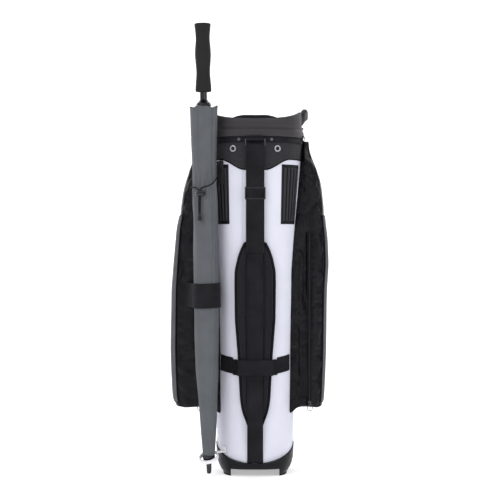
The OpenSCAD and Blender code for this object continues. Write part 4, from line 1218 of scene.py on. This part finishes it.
def canopy():
    """Rolled cloth with wrapped folds, drawn in under the cord and gathered at the ferrule."""
    foot_s = CANOPY[0, 1]
    s = np.unique(np.concatenate([np.arange(foot_s, HEM, 4.0), np.arange(680, 726, 2.0)]))
    S, A = np.meshgrid(s, np.arange(320) * 1.125, indexing="ij")
    R = np.interp(S, CANOPY[:, 1], CANOPY[:, 0])
    fold = np.zeros_like(R)
    # each fold: its edge at the top in degrees, its twist towards the ferrule, its width and height in mm
    for a0, twist, width, high in ((-41, -46, 50, 3.0), (34, -120, 40, 2.4), (112, -100, 55, 3.0),
                                   (186, -84, 44, 2.6), (246, -60, 38, 1.8)):
        edge = a0 + twist * (1 - S / HEM) ** 1.5 + 6 * np.sin(S / 150 + a0) * ramp(-S, -720, -600)
        f = (A - edge) % 360
        fold += 0.75 * high * (np.exp(-f / width) * ease(ramp(f, 0, 4)) - 0.2)
        fold -= 0.4 * high * hump(f, 357, 4)
    pinch = hump(S, CORD_S, 12)
    near = hump(S, CORD_S, 42)
    rad = np.radians(A)
    gathers = np.sin(rad * 15 + S / 46) * 0.9 + np.sin(rad * 26 - S / 27 + 1) * 0.5
    slant = np.sin(rad * 5 + S / 44) * hump(S, 600, 110) * 1.3
    slant += np.sin(rad * 3 - S / 75 + 2) * hump(S, 330, 190) * 1.2
    low_gather = np.exp(-(S - foot_s) / 45)
    soft = ripples(np.stack([A * 0.55, S], -1), 12, 7, 40, 130, (1.0, 0.35))
    r = (R - 0.2 + fold * (0.3 + 0.7 * ramp(S, 260, 720)) * (1 - 0.5 * pinch) * (1 - 0.6 * low_gather)
         + gathers * (near + 0.4 * low_gather) + slant + 0.4 * soft - 0.9 * pinch)
    # sewn band under the hem and the small points where the ribs end
    r = r - 0.7 * hump(S, 816, 1.8)
    tip = np.abs(((A - 20) % 45) / 45 - 0.5) * 2
    sag = 2.2 * (1 - tip) ** 1.5
    right, left, front = (hump(turn_to(A, at), 0, wide) for at, wide in ((-24, 13), (196, 14), (-100, 42)))
    near_top = ramp(S, 770, 886)
    Z = S + near_top ** 3 * (3.0 - sag + 4.5 * right + 2.5 * left + 4.5 * front)
    r = r + near_top * (3.6 * right + 0.6 * left)
    p = np.stack([r * np.cos(rad), r * np.sin(rad), Z], -1)
    top = p[-1]
    inner = []
    for drop, shrink in ((0.6, 0.8), (0.2, 1.8), (-3, 2.3), (-20, 3.2), (-60, 5.5), (-120, 8)):
        q = top.copy()
        rr = np.linalg.norm(q[:, :2], axis=1, keepdims=True)
        q[:, :2] *= (rr - shrink) / rr
        q[:, 2] += drop
        inner.append(q)
    foot = p[0].copy()
    foot[:, :2] *= 0.82
    p = np.concatenate([foot[None], p, np.array(inner)])
    o = grid("umbrella_cover", on_umbrella(p), around=True)
    dress(o, "umbrella_cloth", ["umbrella_canopy"], "umbrella")
    hem = on_umbrella(top - (0, 0, 0.4))
    dress(tube("umbrella_hem", hem[::2], 0.8, 8, closed=True), "umbrella_cloth", body="umbrella")
    tips = []
    for i in range(8):
        b = math.radians(45 * i + 20)
        c = np.array([29.6 * math.cos(b), 29.6 * math.sin(b), 0])
        tips.append(lathe("tip", [(0.01, 876), (1.1, 876), (1.3, 878), (1.1, 886), (1.5, 887.5), (1.1, 889.5),
                                  (0.01, 890)], 16, lambda q: on_umbrella(q + c)))
    dress(joined("umbrella_rib_tips", tips), "gloss_black", body="umbrella")


def foam_grip():
    foam = [(9.0, 926), (17.2, 926), (18.5, 926.8), (19.3, 928), (19.3, 931)]
    shape = np.array([(19.6, 928), (19, 940), (16.8, 966), (16.6, 975), (17.8, 992), (19.4, 1012), (19, 1028),
                      (17.2, 1048), (16.9, 1058), (18.4, 1076), (20.2, 1089)])
    z = np.arange(933, 1087, 0.9)
    r = np.interp(z, shape[:, 1], shape[:, 0])
    r = np.convolve(np.pad(r, 6, mode="edge"), np.ones(13) / 13, "valid")
    groove = 0.55 * np.maximum(0, np.cos(2 * math.pi * z / 5.2)) ** 3
    body_rows = np.column_stack([r - groove + 0.1, z])
    end = [(19.9, 1088.6), (19.5, 1090.2), (17.8, 1091), (9, 1091.2), (0.05, 1091.2)]
    o = lathe("umbrella_foam_grip", np.vstack([foam, body_rows, end]), 120, on_umbrella)
    dress(o, "foam_grip", ["umbrella_grip"], "umbrella")


def umbrella_strap():
    """Strap round the umbrella; it turns about the line h, where it leaves the bag."""
    c = umbrella_axis(440)[:2]
    a = np.radians(np.concatenate([[20], np.arange(14, -169, -7)]))
    h, *arc = c + 33.1 * np.stack([np.cos(a), np.sin(a)], -1)
    tail = [(-152.6, -106), (-155.6, -94), (-161, -82), (-168.6, -72), (-178, -65.5), (-187, -61)]
    root = [(2.0, 25.0), (1.2, 18), (0.5, 10), (0.1, 4), (0, 0.4)]
    plan = np.vstack([h + root, arc, tail])
    plan = resample(smooth(plan, 3), 2.0)
    s = along(plan) / along(plan)[-1]
    line = np.column_stack([plan, 440.5 + 0.9 * np.sin(s * 9)])
    o = webbing("umbrella_strap_webbing", line, (0, 0, 1), 58, 1.7)
    dress(o, "webbing", body=None, nodes=["umbrella_strap_base", "umbrella_strap_flap"])
    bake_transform(o)
    run = line[14:]
    nrm = unit(np.cross(np.gradient(run, axis=0), (0, 0, 1.0)))
    for dz in (-26, 26):
        sew("thread_black", run + (0, 0, dz) + nrm * 0.95, nrm, 4.2, body="umbrella_strap")


def eyelets():
    profile = [(4.6, 2.4), (4.6, 3.9), (5.2, 4.5), (6.4, 4.6), (7.6, 4.3), (8.3, 3.4), (8.3, 2.4)]
    rings = []
    z = 797.0
    for x in (-53.0, 53.0):
        t = wall_t(x, z)
        turn = np.array(Vector(wall_normal(t)).to_track_quat("Z", "Y").to_matrix())
        rings.append(lathe("eyelet", profile, 64, lambda q: q @ turn.T + wall(t, z)))
    dress(joined("eyelet_rings", rings), "bright_metal", ["eyelets"])


def trim_loops():
    a = np.radians(np.linspace(-100, 100, 15))
    line = wall(-14.0, COLLAR_Z + 6.5 * np.sin(a), 3.9 + 5.2 * np.maximum(np.cos(a), 0))
    for s, name in SIDES:
        o = webbing(f"trim_loop_{name}", line * (s, 1, 1), (0, 1, 0), 12, 1.3)
        dress(o, "webbing")


def cord_patch():
    high, wide, edge = 56, 22, 1.5
    v, u = spaced(high, edge, 4)[:, None], spaced(wide, edge, 2)[None]
    rise = panel_rise(u, v, wide / edge, high / edge)
    p = wall(-138.2 + 11.6 * u, 712 + high * v, 3.9 + 2.1 * rise)
    o = grid("cord_patch_fabric", p)
    dress(o, "charcoal_fabric", ["cord_anchor_patch"])


# ---------- CAD nodes that are shown as they are ----------
# material, width of the bevel in millimetres and the nodes that have them
SHOWN = [
    ("sole_rubber", 0.8, "rubber_sole"), ("stay_metal", 0.4, "spine_stay"), ("liner", 0, "divider_panels"),
    ("black_plastic", 2.2, "divider_top"), ("dull_metal", 0.3, "hood_snaps"), ("dull_metal", 0, "strap_ring"),
    ("gloss_black", 0.7, "strap_slider"), ("zip_metal", 0, "pull_ring_right pull_ring_left"),
    ("zip_metal", 0.3, "side_zip_slider_right side_zip_slider_left ball_zip_slider cooler_zip_slider "
                       "accessory_zip_slider"),
    ("ribbed_rubber", 0.5, "ball_zip_pull cooler_zip_pull accessory_zip_pull"),
    ("zip_tape", 0, "side_zips front_zips"), ("white_plastic", 0.7, "umbrella_tip_loop"),
    ("dark_plastic", 0.4, "cord_lock_button umbrella_button"), ("dark_plastic", 0.5, "cord_end"),
    ("gloss_black", 0.4, "cord_lock_body umbrella_housing umbrella_ferrule"),
    ("umbrella_steel", 0, "umbrella_shaft umbrella_ribs")]


def shown_nodes():
    for mat, width, names in SHOWN:
        for name in names.split():
            o = NODES[name]
            o.data.materials.clear()
            o.data.materials.append(MATS[mat])
            if width:
                bevel(o, width, 3, 40)


def build():
    camera()
    cord("cord_leg_front", CORD_FRONT, "umbrella_cord_front")
    cord("cord_leg_back", CORD_BACK, "umbrella_cord_back")
    studio()
    base()
    body()
    yoke()
    collar()
    handles()
    shoulder_pad()
    strap()
    ribbed_panels()
    side_pockets()
    front_pocket("ball_pocket", 96, 300, 184, 70, "white_pocket")
    front_pocket("cooler_pocket", 318, 520, 172, 68, "grey_fabric")
    front_pocket("accessory_pocket", 538, 728, 158, 64, "black_nylon")
    canopy()
    foam_grip()
    umbrella_strap()
    eyelets()
    trim_loops()
    cord_patch()
    shown_nodes()
    finish_threads()


build()
